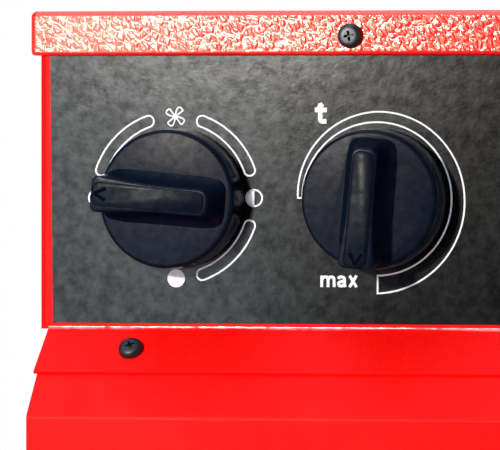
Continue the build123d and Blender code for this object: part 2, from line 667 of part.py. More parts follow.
def spindle(turn, x):
    """Control spindle, round with a flat where the knob grips it."""
    base = control_plane(x, KNOB_BASE_Y, turn=turn)
    reach = SPINDLE_INTO_SWITCH + PANEL_Y - KNOB_BASE_Y
    with BuildPart() as shaft:
        with BuildSketch(base.offset(-reach)):
            Circle(SPINDLE_R)
        extrude(amount=reach + SPINDLE_INTO_KNOB)
        with BuildSketch(base.offset(-KNOB_GAP / 2)):
            with Locations((0, SPINDLE_FLAT + SPINDLE_R)):
                Rectangle(4 * SPINDLE_R, 2 * SPINDLE_R)
        extrude(amount=2 * SPINDLE_INTO_KNOB, mode=Mode.SUBTRACT)
    return shaft


selector_knob = knob(SELECTOR_TURN, SELECTOR_X)
selector_knob.part.label = "selector_knob"
export_step(selector_knob.part, "parts/selector_knob.step")

selector_insert = knob_insert(SELECTOR_TURN, SELECTOR_X)
selector_insert.part.label = "selector_insert"
export_step(selector_insert.part, "parts/selector_insert.step")

selector_spindle = spindle(SELECTOR_TURN, SELECTOR_X)
selector_spindle.part.label = "selector_spindle"
export_step(selector_spindle.part, "parts/selector_spindle.step")

thermostat_knob = knob(THERMOSTAT_TURN, THERMOSTAT_X)
thermostat_knob.part.label = "thermostat_knob"
export_step(thermostat_knob.part, "parts/thermostat_knob.step")

thermostat_insert = knob_insert(THERMOSTAT_TURN, THERMOSTAT_X)
thermostat_insert.part.label = "thermostat_insert"
export_step(thermostat_insert.part, "parts/thermostat_insert.step")

thermostat_spindle = spindle(THERMOSTAT_TURN, THERMOSTAT_X)
thermostat_spindle.part.label = "thermostat_spindle"
export_step(thermostat_spindle.part, "parts/thermostat_spindle.step")


def bush_and_bore(x):
    """Collar through the panel, with the spindle's bore through it into the control's body."""
    with BuildSketch(control_plane(x, PANEL_INNER_Y)) as collar:
        Circle(BUSH_R)
    extrude(collar.sketch, amount=SHEET + BUSH_OUT)
    with BuildSketch(control_plane(x, PANEL_Y + SPINDLE_INTO_SWITCH + BORE_BEYOND)) as bore:
        Circle(SPINDLE_R + FIT)
    extrude(bore.sketch, amount=2 * SPINDLE_INTO_SWITCH, mode=Mode.SUBTRACT)


def blade_terminals(x, rear_y, grid):
    """Flat push-on terminals standing out of a control's back."""
    thickness, width, length = BLADE_TERMINAL
    with BuildPart() as group:
        with BuildSketch(Plane(origin=(x, rear_y, KNOB_Z), x_dir=(-1, 0, 0), z_dir=(0, 1, 0))):
            with GridLocations(*grid):
                Rectangle(thickness, width)
        extrude(amount=length)
    return group


with BuildPart() as selector_switch:
    with BuildSketch(control_plane(SELECTOR_X, PANEL_INNER_Y)):
        RectangleRounded(SWITCH_W, SWITCH_H, SWITCH_CORNER_R)
    extrude(amount=-SWITCH_DEPTH)
    with BuildSketch(control_plane(SELECTOR_X, PANEL_INNER_Y + SWITCH_BAND_AT)):
        Rectangle(SWITCH_W + 2 * SWITCH_BAND_OUT, SWITCH_H - SWITCH_BAND_SHORTER)
    extrude(amount=-SWITCH_BAND_T)
    bush_and_bore(SELECTOR_X)
selector_switch.part.label = "selector_switch"
export_step(selector_switch.part, "parts/selector_switch.step")

selector_terminals = blade_terminals(SELECTOR_X, SWITCH_BACK_Y, SELECTOR_TERMINAL_GRID)
selector_terminals.part.label = "selector_terminals"
export_step(selector_terminals.part, "parts/selector_terminals.step")

with BuildPart() as thermostat_body:
    with BuildSketch(control_plane(THERMOSTAT_X, PANEL_INNER_Y)):
        RectangleRounded(THERMO_W, THERMO_H, THERMO_CORNER_R)
    extrude(amount=-THERMO_DEPTH)
    bush_and_bore(THERMOSTAT_X)
thermostat_body.part.label = "thermostat_body"
export_step(thermostat_body.part, "parts/thermostat_body.step")

thermostat_terminals = blade_terminals(THERMOSTAT_X, THERMO_BACK_Y, THERMO_TERMINAL_GRID)
thermostat_terminals.part.label = "thermostat_terminals"
export_step(thermostat_terminals.part, "parts/thermostat_terminals.step")

with BuildPart() as thermostat_capsule:
    with BuildSketch(control_plane(THERMOSTAT_X, THERMO_BACK_Y)):
        Circle(CAPSULE_R)
    extrude(amount=-CAPSULE_T)
thermostat_capsule.part.label = "thermostat_capsule"
export_step(thermostat_capsule.part, "parts/thermostat_capsule.step")

# Thermostat's capillary runs down through the roof to its bulb in the air inlet
with BuildPart() as thermostat_capillary:
    start = (THERMOSTAT_X, THERMO_BACK_Y + CAPSULE_T, KNOB_Z)
    hole_x, hole_y = CABLE_HOLE
    under_roof_z = ROOF_Z - CAPILLARY_UNDER_ROOF
    with BuildLine():
        FilletPolyline(
            start,
            (THERMOSTAT_X, hole_y, KNOB_Z),
            (hole_x, hole_y, KNOB_Z),
            (hole_x, hole_y, under_roof_z),
            (hole_x, BULB_Y, under_roof_z),
            (BULB_X, BULB_Y, under_roof_z),
            (BULB_X, BULB_Y, BULB_TOP_Z),
            radius=CAPILLARY_BEND_R,
        )
    with BuildSketch(Plane(origin=start, z_dir=(0, 1, 0))):
        Circle(CAPILLARY_R)
    sweep()
    with BuildSketch(Plane.XY.offset(BULB_TOP_Z + BULB_OVERLAP)):
        with Locations((BULB_X, BULB_Y)):
            Circle(BULB_R)
    extrude(amount=-BULB_L)
thermostat_capillary.part.label = "thermostat_capillary"
export_step(thermostat_capillary.part, "parts/thermostat_capillary.step")

# Pilot lamp: holder through the panel and a domed lens
lamp_plane = control_plane(SIDE_CONTROL_X, LABEL_Y, LAMP_Z)
with BuildPart() as lamp_holder:
    with BuildSketch(lamp_plane):
        Circle(LAMP_R + LAMP_BEZEL_W)
        Circle(LAMP_BORE_R, mode=Mode.SUBTRACT)
    extrude(amount=LAMP_BEZEL_T)
    with BuildSketch(lamp_plane):
        Circle(BUSH_R)
        Circle(BUSH_R - LAMP_TUBE_WALL, mode=Mode.SUBTRACT)
    extrude(amount=-LAMP_DEPTH)
lamp_holder.part.label = "lamp_holder"
export_step(lamp_holder.part, "parts/lamp_holder.step")

with BuildPart() as lamp_lens:
    with BuildSketch(lamp_plane.offset(LAMP_BEZEL_T)):
        Circle(LAMP_R)
    extrude(amount=LENS_T)
    fillet(lamp_lens.faces().sort_by(Axis.Y)[0].edges(), radius=LENS_EDGE_R)
lamp_lens.part.label = "lamp_lens"
export_step(lamp_lens.part, "parts/lamp_lens.step")

# Overheat cut-out behind the panel, with a sprung reset button in its threaded bush
reset_plane = control_plane(SIDE_CONTROL_X, LABEL_Y, RESET_Z)
cutout_seat = control_plane(SIDE_CONTROL_X, PANEL_INNER_Y, RESET_Z)
bush_length = SHEET + LABEL_T + CUTOUT_BUSH_OUT
with BuildPart() as cutout_body:
    with BuildSketch(cutout_seat):
        Circle(CUTOUT_R)
    extrude(amount=-CUTOUT_DEPTH)
    with BuildSketch(cutout_seat):
        Circle(BUSH_R)
    extrude(amount=bush_length)
    with BuildSketch(cutout_seat.offset(-CUTOUT_BORE_DEPTH)):
        Circle(RESET_R + FIT)
    extrude(amount=CUTOUT_BORE_DEPTH + bush_length, mode=Mode.SUBTRACT)
cutout_body.part.label = "cutout_body"
export_step(cutout_body.part, "parts/cutout_body.step")

with BuildPart() as cutout_nut:
    with BuildSketch(reset_plane):
        RegularPolygon(radius=CUTOUT_NUT_R, side_count=6)
        Circle(BUSH_R + FIT, mode=Mode.SUBTRACT)
    extrude(amount=CUTOUT_NUT_T)
cutout_nut.part.label = "cutout_nut"
export_step(cutout_nut.part, "parts/cutout_nut.step")

with BuildPart() as reset_button:
    hidden = CUTOUT_BORE_DEPTH - RESET_TRAVEL - RESET_END_GAP
    with BuildSketch(cutout_seat.offset(-hidden)):
        Circle(RESET_R)
    extrude(amount=hidden + bush_length + RESET_OUT)
    fillet(reset_button.faces().sort_by(Axis.Y)[0].edges(), radius=RESET_EDGE_R)
reset_button.part.label = "reset_button"
export_step(reset_button.part, "parts/reset_button.step")

# Terminal block on the roof inside the console
with BuildPart() as terminal_block:
    base_l, base_w, base_h = BLOCK_BASE
    pole_l, pole_w, pole_h = BLOCK_POLE
    with BuildSketch(Plane.XY.offset(ROOF_Z)):
        with Locations(BLOCK_CENTRE):
            Rectangle(base_l, base_w)
    extrude(amount=base_h)
    with BuildSketch(Plane.XY.offset(ROOF_Z + base_h)):
        with Locations(BLOCK_CENTRE):
            with GridLocations(BLOCK_PITCH, 0, BLOCK_POLES, 1):
                Rectangle(pole_l, pole_w)
    extrude(amount=pole_h)
    with BuildSketch(Plane.XY.offset(ROOF_Z + base_h + pole_h)):
        with Locations(BLOCK_CENTRE):
            with GridLocations(BLOCK_PITCH, BLOCK_ROW_PITCH, BLOCK_POLES, 2):
                Circle(BLOCK_SCREW_R)
    extrude(amount=-BLOCK_SCREW_DEPTH, mode=Mode.SUBTRACT)
terminal_block.part.label = "terminal_block"
export_step(terminal_block.part, "parts/terminal_block.step")

# Cord inlet: gland body with its hexagon against the console back, dome nut, seal and lock nut
with BuildPart() as gland_body:
    with BuildSketch(GLAND_PLANE):
        RegularPolygon(radius=GLAND_HEX_R, side_count=6)
    extrude(amount=GLAND_HEX_T)
    with BuildSketch(GLAND_PLANE.offset(-GLAND_THREAD_IN)):
        Circle(GLAND_THREAD_R)
    extrude(amount=GLAND_THREAD_IN + GLAND_HEX_T + GLAND_THREAD_OUT)
    drill([GLAND_PLANE], GLAND_BORE_R, GLAND_THREAD_IN + GLAND_HEX_T + GLAND_THREAD_OUT)
gland_body.part.label = "gland_body"
export_step(gland_body.part, "parts/gland_body.step")

with BuildPart() as gland_nut:
    nut_plane = GLAND_PLANE.offset(GLAND_HEX_T + GLAND_NUT_GAP)
    with BuildSketch(nut_plane):
        Circle(GLAND_NUT_R)
    extrude(amount=GLAND_NUT_L)
    fillet(gland_nut.faces().sort_by(Axis.Y)[-1].edges(), radius=GLAND_NUT_DOME_R)
    with BuildSketch(nut_plane):
        with PolarLocations(GLAND_GRIP_AT, GLAND_GRIPS):
            Circle(GLAND_GRIP_R)
    extrude(amount=GLAND_GRIP_L, mode=Mode.SUBTRACT)
    with BuildSketch(nut_plane):
        Circle(GLAND_THREAD_R + FIT)
    extrude(amount=GLAND_NUT_THREAD, mode=Mode.SUBTRACT)
    drill([nut_plane], GLAND_MOUTH_R, 2 * GLAND_NUT_L)
gland_nut.part.label = "gland_nut"
export_step(gland_nut.part, "parts/gland_nut.step")

with BuildPart() as gland_seal:
    with BuildSketch(GLAND_PLANE.offset(GLAND_HEX_T)):
        Circle(GLAND_BORE_R - FIT)
        Circle(SEAL_BORE_R, mode=Mode.SUBTRACT)
    extrude(amount=SEAL_L)
gland_seal.part.label = "gland_seal"
export_step(gland_seal.part, "parts/gland_seal.step")

with BuildPart() as gland_locknut:
    with BuildSketch(GLAND_PLANE.offset(-SHEET)):
        RegularPolygon(radius=GLAND_HEX_R, side_count=6)
        Circle(GLAND_THREAD_R + FIT, mode=Mode.SUBTRACT)
    extrude(amount=-LOCKNUT_T)
gland_locknut.part.label = "gland_locknut"
export_step(gland_locknut.part, "parts/gland_locknut.step")

# Air duct between fan and outlet, its front edge turned out against the casing
with BuildPart() as air_duct:
    duct_front = axis_plane(FRONT_Y + SHEET)
    with BuildSketch(duct_front):
        Circle(DUCT_R)
    extrude(amount=DUCT_REAR_Y - FRONT_Y - SHEET)
    with BuildSketch(duct_front):
        Circle(DUCT_FLANGE_R)
    extrude(amount=SHEET)
    with BuildSketch(duct_front):
        Circle(DUCT_R - SHEET)
    extrude(amount=CASE_D, mode=Mode.SUBTRACT)
    for ring_r, ring_y in (OUTER_RING, MIDDLE_RING, INNER_RING):
        leg_planes = [Plane(origin=(x, ring_y, AIR_AXIS_Z + DUCT_R)) for x in (-LEG_X, LEG_X)]
        drill(leg_planes, LEG_HOLE_R)
    drill(grille_screw_planes, SCREW_HOLE_R)
air_duct.part.label = "air_duct"
export_step(air_duct.part, "parts/air_duct.step")


def heating_element(ring_r, ring_y):
    """Sheathed heater bent to a ring, both legs led up out of the duct."""
    reach = ring_r + LEG_BEND_R
    bend_z = sqrt(reach**2 - (LEG_X + LEG_BEND_R) ** 2)
    touch = ((LEG_X + LEG_BEND_R) * ring_r / reach, bend_z * ring_r / reach)
    half_turn = atan2(bend_z, LEG_X + LEG_BEND_R) / 2
    middle = (LEG_X + LEG_BEND_R * (1 - cos(half_turn)), bend_z - LEG_BEND_R * sin(half_turn))
    with BuildPart() as element:
        with BuildLine(control_plane(0, ring_y, AIR_AXIS_Z)):
            Line((-LEG_X, LEG_TOP), (-LEG_X, bend_z))
            ThreePointArc((-LEG_X, bend_z), (-middle[0], middle[1]), (-touch[0], touch[1]))
            ThreePointArc((-touch[0], touch[1]), (0, -ring_r), touch)
            ThreePointArc(touch, middle, (LEG_X, bend_z))
            Line((LEG_X, bend_z), (LEG_X, LEG_TOP))
        with BuildSketch(Plane(origin=(-LEG_X, ring_y, AIR_AXIS_Z + LEG_TOP), z_dir=(0, 0, -1))):
            Circle(ELEMENT_R)
        sweep()
    return element


element_outer = heating_element(*OUTER_RING)
element_outer.part.label = "element_outer"
export_step(element_outer.part, "parts/element_outer.step")

element_middle = heating_element(*MIDDLE_RING)
element_middle.part.label = "element_middle"
export_step(element_middle.part, "parts/element_middle.step")

element_inner = heating_element(*INNER_RING)
element_inner.part.label = "element_inner"
export_step(element_inner.part, "parts/element_inner.step")

# Three radial combs hold the rings inside the duct
with BuildPart() as element_combs:
    comb_outer_r = DUCT_R - SHEET - FIT
    rear_y, front_y = INNER_RING[1] + COMB_MARGIN, OUTER_RING[1] - COMB_MARGIN
    for angle in COMB_ANGLES:
        with BuildSketch(radial_plane(angle, 0)):
            with BuildLine():
                Polyline(
                    (COMB_INNER_R, rear_y),
                    (COMB_INNER_R, INNER_RING[1] - COMB_MARGIN),
                    (OUTER_RING[0] - COMB_MARGIN, front_y),
                    (comb_outer_r, front_y),
                    (comb_outer_r, rear_y),
                    close=True,
                )
            make_face()
            with Locations(OUTER_RING, MIDDLE_RING, INNER_RING):
                Circle(COMB_HOLE_R, mode=Mode.SUBTRACT)
        extrude(amount=COMB_T / 2, both=True)
element_combs.part.label = "element_combs"
export_step(element_combs.part, "parts/element_combs.step")


def wire_ring(ring_r, y):
    """One wire ring about the air axis, its section many-sided, added to the current part."""
    with BuildSketch(Plane.XY.offset(AIR_AXIS_Z)) as section:
        with Locations((ring_r, y)):
            RegularPolygon(WIRE_R, WIRE_SIDES, rotation=180.0 / WIRE_SIDES)
    revolve(section.sketch, axis=AIR_AXIS)


# Outlet grille: a flat ring, spokes welded behind it and wire rings welded on the spokes
with BuildPart() as outlet_grille:
    with BuildSketch(OUTLET_PLANE):
        Circle(GRILLE_PLATE_R)
        Circle(OUTLET_R - GRILLE_LIP, mode=Mode.SUBTRACT)
    extrude(amount=SHEET)
    spoke_y = FRONT_Y + SPOKE_R - WELD
    for angle in GRILLE_SPOKE_ANGLES:
        out = (cos(radians(angle)), 0, sin(radians(angle)))
        with BuildSketch(Plane(origin=(0, spoke_y, AIR_AXIS_Z), z_dir=out)):
            Circle(SPOKE_R)
        extrude(amount=OUTLET_R - GRILLE_LIP / 2, both=True)
    for index in range(GRILLE_RINGS):
        ring_r = OUTLET_R - GRILLE_LIP - (index + 1) * GRILLE_RING_PITCH
        wire_ring(ring_r, spoke_y - SPOKE_R - WIRE_R + WELD)
    drill(grille_screw_planes, SCREW_HOLE_R)
outlet_grille.part.label = "outlet_grille"
export_step(outlet_grille.part, "parts/outlet_grille.step")

# Inlet guard: domed wire basket on the back panel, with four screw tabs
with BuildPart() as inlet_guard:
    ring_rise = WIRE_R + GUARD_RING_LIFT
    top_rise = GUARD_STANDOFF + WIRE_R + GUARD_SPOKE_R - WELD
    for index in range(GUARD_SPOKES):
        spoke_plane = radial_plane((index + 0.5) * 360.0 / GUARD_SPOKES, BACK_Y)
        with BuildLine(spoke_plane):
            FilletPolyline(
                (GUARD_RING_R, ring_rise),
                (GUARD_SHOULDER_R, top_rise),
                (GUARD_SPOKE_END_R, top_rise),
                radius=GUARD_BEND_R,
            )
        foot = spoke_plane.from_local_coords((GUARD_RING_R, ring_rise, 0))
        shoulder = spoke_plane.from_local_coords((GUARD_SHOULDER_R, top_rise, 0))
        with BuildSketch(Plane(origin=foot, z_dir=Vector(*shoulder) - Vector(*foot))):
            Circle(GUARD_SPOKE_R)
        sweep()
    with BuildSketch(INLET_PLANE.offset(GUARD_STANDOFF - GUARD_HUB_SINK)):
        Circle(GUARD_HUB_R)
    extrude(amount=GUARD_HUB_T)
    wire_ring(GUARD_RING_R, BACK_Y + ring_rise)
    for ring_r in GUARD_INNER_RINGS:
        wire_ring(ring_r, BACK_Y + GUARD_STANDOFF)
    tab_middle_r = (GUARD_TAB_R + GUARD_RING_R - WIRE_R) / 2
    with BuildSketch(INLET_PLANE):
        with PolarLocations(GUARD_TAB_R, GUARD_TABS, start_angle=GUARD_TAB_ANGLE):
            Circle(GUARD_TAB_HALF_W)
        with PolarLocations(tab_middle_r, GUARD_TABS, start_angle=GUARD_TAB_ANGLE):
            Rectangle(GUARD_TAB_R - GUARD_RING_R + WIRE_R, 2 * GUARD_TAB_HALF_W)
    extrude(amount=GUARD_TAB_T)
    drill(guard_screw_planes, SCREW_HOLE_R)
inlet_guard.part.label = "inlet_guard"
export_step(inlet_guard.part, "parts/inlet_guard.step")

# Axial fan: pitched sheet blades on a turned hub
with BuildPart() as fan_rotor:
    with BuildSketch(axis_plane(FAN_FRONT_Y)):
        Circle(FAN_HUB_R)
    extrude(amount=FAN_REAR_Y - FAN_FRONT_Y)
    half = BLADE_CHORD / 2
    for index in range(FAN_BLADES):
        angle = radians(360.0 / FAN_BLADES * index)
        out = Vector(cos(angle), 0, sin(angle))
        around = Vector(-sin(angle), 0, cos(angle))
        chord = around * cos(radians(BLADE_PITCH)) + Vector(0, sin(radians(BLADE_PITCH)), 0)
        section = Plane(origin=(0, (FAN_FRONT_Y + FAN_REAR_Y) / 2, AIR_AXIS_Z), x_dir=chord, z_dir=out)
        with BuildSketch(section.offset(FAN_HUB_R - BLADE_ROOT_SINK)):
            with BuildLine():
                ThreePointArc((-half, 0), (0, BLADE_SAG), (half, 0))
                Line((half, 0), (half, -BLADE_SHEET))
                ThreePointArc((half, -BLADE_SHEET), (0, BLADE_SAG - BLADE_SHEET), (-half, -BLADE_SHEET))
                Line((-half, -BLADE_SHEET), (-half, 0))
            make_face()
        extrude(amount=FAN_R)
    with BuildSketch(axis_plane(FAN_FRONT_Y - BLADE_SAG)):
        Circle(FAN_R)
    extrude(amount=FAN_REAR_Y - FAN_FRONT_Y + 2 * BLADE_SAG, mode=Mode.INTERSECT)
    drill([axis_plane(FAN_FRONT_Y)], MOTOR_SHAFT_R + FIT, 2 * (FAN_REAR_Y - FAN_FRONT_Y))
fan_rotor.part.label = "fan_rotor"
export_step(fan_rotor.part, "parts/fan_rotor.step")

# Motor: shaft and rotor core turn, the stack, coil and bearing bridges stand still
with BuildPart() as motor_shaft:
    with BuildSketch(axis_plane(FAN_FRONT_Y - SHAFT_OUT)):
        Circle(MOTOR_SHAFT_R)
    extrude(amount=STRAP_FRONT_Y + SHAFT_IN - FAN_FRONT_Y + SHAFT_OUT)
    chamfer(motor_shaft.edges().filter_by(GeomType.CIRCLE), length=SHAFT_CHAMFER)
motor_shaft.part.label = "motor_shaft"
export_step(motor_shaft.part, "parts/motor_shaft.step")

with BuildPart() as rotor_core:
    with BuildSketch(axis_plane(STACK_FRONT_Y)):
        Circle(ROTOR_R)
        Circle(MOTOR_SHAFT_R + FIT, mode=Mode.SUBTRACT)
    extrude(amount=STACK_T)
rotor_core.part.label = "rotor_core"
export_step(rotor_core.part, "parts/rotor_core.step")

with BuildPart() as motor_stack:
    with BuildSketch(axis_plane(STACK_FRONT_Y)):
        with Locations((0, (STACK_TOP + STACK_BOTTOM) / 2)):
            RectangleRounded(2 * STACK_HALF_W, STACK_TOP - STACK_BOTTOM, STACK_CORNER_R)
        Circle(STATOR_BORE_R, mode=Mode.SUBTRACT)
        with Locations((0, (WINDOW_HIGH + WINDOW_LOW) / 2)):
            Rectangle(2 * (COIL_HALF_W + WINDOW_SIDE_GAP), WINDOW_HIGH - WINDOW_LOW, mode=Mode.SUBTRACT)
        with Locations((-THROUGH_SCREW_X, 0), (THROUGH_SCREW_X, 0)):
            Circle(THROUGH_HOLE_R, mode=Mode.SUBTRACT)
    extrude(amount=STACK_T)
motor_stack.part.label = "motor_stack"
export_step(motor_stack.part, "parts/motor_stack.step")

# Coil round the stack's bottom leg
with BuildPart() as motor_coil:
    coil_low, coil_high = STACK_BOTTOM - COIL_BUILD, WINDOW_HIGH - COIL_TOP_GAP
    with BuildSketch(axis_plane(STACK_FRONT_Y - COIL_END)):
        with Locations((0, (coil_low + coil_high) / 2)):
            RectangleRounded(2 * COIL_HALF_W, coil_high - coil_low, STACK_CORNER_R)
    extrude(amount=STACK_T + 2 * COIL_END)
    with BuildSketch(axis_plane(STACK_FRONT_Y - FIT)):
        with Locations((0, (STACK_BOTTOM + WINDOW_LOW) / 2)):
            Rectangle(4 * COIL_HALF_W, WINDOW_LOW - STACK_BOTTOM + 2 * FIT)
    extrude(amount=STACK_T + 2 * FIT, mode=Mode.SUBTRACT)
motor_coil.part.label = "motor_coil"
export_step(motor_coil.part, "parts/motor_coil.step")


def bearing_bridge(foot_y, outwards):
    """Channel-shaped bridge with a bearing boss for the shaft; outwards is its stack face's side along Y."""
    plane = Plane(origin=(0, foot_y, AIR_AXIS_Z), x_dir=(1, 0, 0), z_dir=(0, outwards, 0))
    with BuildPart() as bridge:
        with BuildSketch(plane):
            RectangleRounded(BRIDGE_L, BRIDGE_W, BRIDGE_CORNER_R)
        extrude(amount=BRIDGE_RISE)
        with BuildSketch(plane):
            Rectangle(BRIDGE_SPAN, 2 * BRIDGE_W)
        extrude(amount=BRIDGE_RISE - BRIDGE_PLATE_T, mode=Mode.SUBTRACT)
        with BuildSketch(plane.offset(BOSS_GAP)):
            Circle(BOSS_R)
        extrude(amount=BRIDGE_RISE - BOSS_GAP)
        with BuildSketch(plane):
            Circle(MOTOR_SHAFT_R + FIT)
            with Locations((-THROUGH_SCREW_X, 0), (THROUGH_SCREW_X, 0)):
                Circle(THROUGH_HOLE_R)
        extrude(amount=BRIDGE_RISE, mode=Mode.SUBTRACT)
    return bridge


front_bearing_bridge = bearing_bridge(STACK_FRONT_Y, -1)
front_bearing_bridge.part.label = "front_bearing_bridge"
export_step(front_bearing_bridge.part, "parts/front_bearing_bridge.step")

rear_bearing_bridge = bearing_bridge(STACK_REAR_Y, 1)
rear_bearing_bridge.part.label = "rear_bearing_bridge"
export_step(rear_bearing_bridge.part, "parts/rear_bearing_bridge.step")

# Strap across the inlet that carries the motor
with BuildPart() as motor_strap:
    with BuildSketch(axis_plane(STRAP_FRONT_Y)):
        RectangleRounded(STRAP_W, STRAP_L, STRAP_CORNER_R)
        RectangleRounded(STRAP_CROSS_L, STRAP_CROSS_W, STRAP_CORNER_R)
        Circle(STRAP_SHAFT_HOLE_R, mode=Mode.SUBTRACT)
        with Locations((-THROUGH_SCREW_X, 0), (THROUGH_SCREW_X, 0)):
            Circle(THROUGH_HOLE_R, mode=Mode.SUBTRACT)
    extrude(amount=STRAP_T)
    drill(strap_screw_planes, SCREW_HOLE_R)
motor_strap.part.label = "motor_strap"
export_step(motor_strap.part, "parts/motor_strap.step")

# Two through screws clamp strap, bridges and stack together
with BuildPart() as motor_screws:
    for x in (-THROUGH_SCREW_X, THROUGH_SCREW_X):
        with BuildSketch(control_plane(x, BRIDGE_FRONT_Y, AIR_AXIS_Z)):
            RegularPolygon(radius=THROUGH_NUT_R, side_count=6)
        extrude(amount=THROUGH_NUT_T)
        with BuildSketch(control_plane(x, BRIDGE_FRONT_Y, AIR_AXIS_Z)):
            Circle(THROUGH_SCREW_R)
        extrude(amount=-(BACK_Y - SHEET - BRIDGE_FRONT_Y))
motor_screws.part.label = "motor_screws"
export_step(motor_screws.part, "parts/motor_screws.step")

# Carrying handle behind the console
with BuildPart() as handle_bar:
    pad_l, pad_w, pad_t = HANDLE_PAD
    with BuildLine():
        FilletPolyline(
            (-HANDLE_HALF_W, HANDLE_Y, ROOF_Z + pad_t / 2),
            (-HANDLE_HALF_W, HANDLE_Y, GRIP_Z),
            (HANDLE_HALF_W, HANDLE_Y, GRIP_Z),
            (HANDLE_HALF_W, HANDLE_Y, ROOF_Z + pad_t / 2),
            radius=HANDLE_BEND_R,
        )
    with BuildSketch(Plane.XY.offset(ROOF_Z + pad_t / 2)):
        with Locations((-HANDLE_HALF_W, HANDLE_Y)):
            Circle(HANDLE_TUBE_R)
    sweep()
    with BuildSketch(Plane.XY.offset(ROOF_Z)):
        with Locations((-HANDLE_HALF_W, HANDLE_Y), (HANDLE_HALF_W, HANDLE_Y)):
            SlotOverall(pad_l, pad_w, rotation=90)
    extrude(amount=pad_t)
    drill(handle_screw_planes, SCREW_HOLE_R)
handle_bar.part.label = "handle_bar"
export_step(handle_bar.part, "parts/handle_bar.step")

with BuildPart() as handle_grip:
    with BuildSketch(Plane(origin=(-GRIP_HALF_L, HANDLE_Y, GRIP_Z), z_dir=(1, 0, 0))):
        Circle(GRIP_R)
        Circle(HANDLE_TUBE_R + FIT, mode=Mode.SUBTRACT)
    extrude(amount=2 * GRIP_HALF_L)
    outer_edges = handle_grip.edges().filter_by(GeomType.CIRCLE).group_by(SortBy.RADIUS)[-1]
    fillet(outer_edges, radius=GRIP_EDGE_R)
handle_grip.part.label = "handle_grip"
export_step(handle_grip.part, "parts/handle_grip.step")


def stand_tubes(radius, mode):
    """Yoke and foot tubes as round bars of one radius, added or cut."""
    with BuildLine() as bends:
        FilletPolyline(
            (-YOKE_X, 0, RISER_TOP_Z),
            (-YOKE_X, 0, YOKE_Z),
            (YOKE_X, 0, YOKE_Z),
            (YOKE_X, 0, RISER_TOP_Z),
            radius=YOKE_BEND_R,
        )
    with BuildSketch(Plane(origin=(-YOKE_X, 0, RISER_TOP_Z), z_dir=(0, 0, -1))) as section:
        Circle(radius)
    sweep(section.sketch, path=bends.line, mode=mode)
    for x in (-FOOT_X, FOOT_X):
        with BuildSketch(control_plane(x, FOOT_BAR_END_Y, FOOT_CAP_Z)) as tube_end:
            Circle(radius)
        extrude(tube_end.sketch, amount=2 * FOOT_BAR_END_Y, mode=mode)


# Stand: bent tube yoke with flat eyes, welded across two straight foot tubes
with BuildPart() as stand_frame:
    stand_tubes(TUBE_R, Mode.ADD)
    stand_tubes(TUBE_R - TUBE_WALL, Mode.SUBTRACT)
    for side in (-1, 1):
        with BuildSketch(Plane(origin=(side * LUG_X, 0, PIVOT_Z), x_dir=(0, 1, 0), z_dir=(side, 0, 0))):
            Circle(LUG_R)
            with Locations((0, -side * LUG_L / 2)):
                Rectangle(2 * LUG_R, LUG_L)
            Circle(STUD_HOLE_R, mode=Mode.SUBTRACT)
        extrude(amount=LUG_T)
        with BuildSketch(Plane.XY.offset(RISER_TOP_Z)):
            with Locations((side * YOKE_X, 0)):
                Circle(TUBE_R)
        extrude(amount=-TUBE_END_T)
stand_frame.part.label = "stand_frame"
export_step(stand_frame.part, "parts/stand_frame.step")

# Rubber caps on the foot tube ends, cut flat where they stand on the floor
with BuildPart() as foot_caps:
    for x in (-FOOT_X, FOOT_X):
        for end in (-1, 1):
            outer_end = Plane(origin=(x, end * STAND_HALF_D, FOOT_CAP_Z), z_dir=(0, -end, 0))
            with BuildSketch(outer_end):
                Circle(FOOT_CAP_R)
            extrude(amount=CAP_LENGTH)
            with BuildSketch(outer_end.offset(CAP_LENGTH)):
                Circle(TUBE_R + FIT)
            extrude(amount=-CAP_DEPTH, mode=Mode.SUBTRACT)
    with BuildSketch(Plane.XY):
        Rectangle(3 * FOOT_X, 3 * STAND_HALF_D)
    extrude(amount=-FOOT_CAP_R, mode=Mode.SUBTRACT)
foot_caps.part.label = "foot_caps"
export_step(foot_caps.part, "parts/foot_caps.step")

# Friction washers between the casing and the stand's eyes
with BuildPart() as pivot_washers:
    for plane in pivot_planes:
        with BuildSketch(plane):
            Circle(WASHER_R)
            Circle(STUD_HOLE_R, mode=Mode.SUBTRACT)
        extrude(amount=WASHER_T)
pivot_washers.part.label = "pivot_washers"
export_step(pivot_washers.part, "parts/pivot_washers.step")

with BuildPart() as pivot_nuts:
    for plane in pivot_planes:
        with BuildSketch(plane.offset(-SHEET)):
            RegularPolygon(radius=NUT_R, side_count=6)
            Circle(STUD_R, mode=Mode.SUBTRACT)
        extrude(amount=-NUT_T)
pivot_nuts.part.label = "pivot_nuts"
export_step(pivot_nuts.part, "parts/pivot_nuts.step")


def clamp_knob(plane):
    """Star knob that clamps the stand's eye."""
    with BuildPart() as star:
        with BuildSketch(plane.offset(CLAMP_FROM_SIDE)):
            Circle(CLAMP_R - 2 * CLAMP_LOBE_R / 3)
            with PolarLocations(CLAMP_R - CLAMP_LOBE_R, CLAMP_LOBES):
                Circle(CLAMP_LOBE_R)
        extrude(amount=CLAMP_T)
        with BuildSketch(plane.offset(CLAMP_FROM_SIDE)):
            Circle(STUD_R)
        extrude(amount=CLAMP_T - STUD_HEAD_GAP, mode=Mode.SUBTRACT)
        outer_face = star.faces().sort_by(Axis(plane.origin, plane.z_dir))[-1]
        fillet(outer_face.edges(), radius=CLAMP_EDGE_R)
    return star


def clamp_stud(plane):
    """Threaded stud of a star knob, through washer and eye into the nut."""
    with BuildPart() as stud:
        with BuildSketch(plane.offset(-STUD_IN)):
            Circle(STUD_R - FIT)
        extrude(amount=STUD_IN + CLAMP_FROM_SIDE + CLAMP_T - STUD_HEAD_GAP - BORE_BEYOND)
    return stud


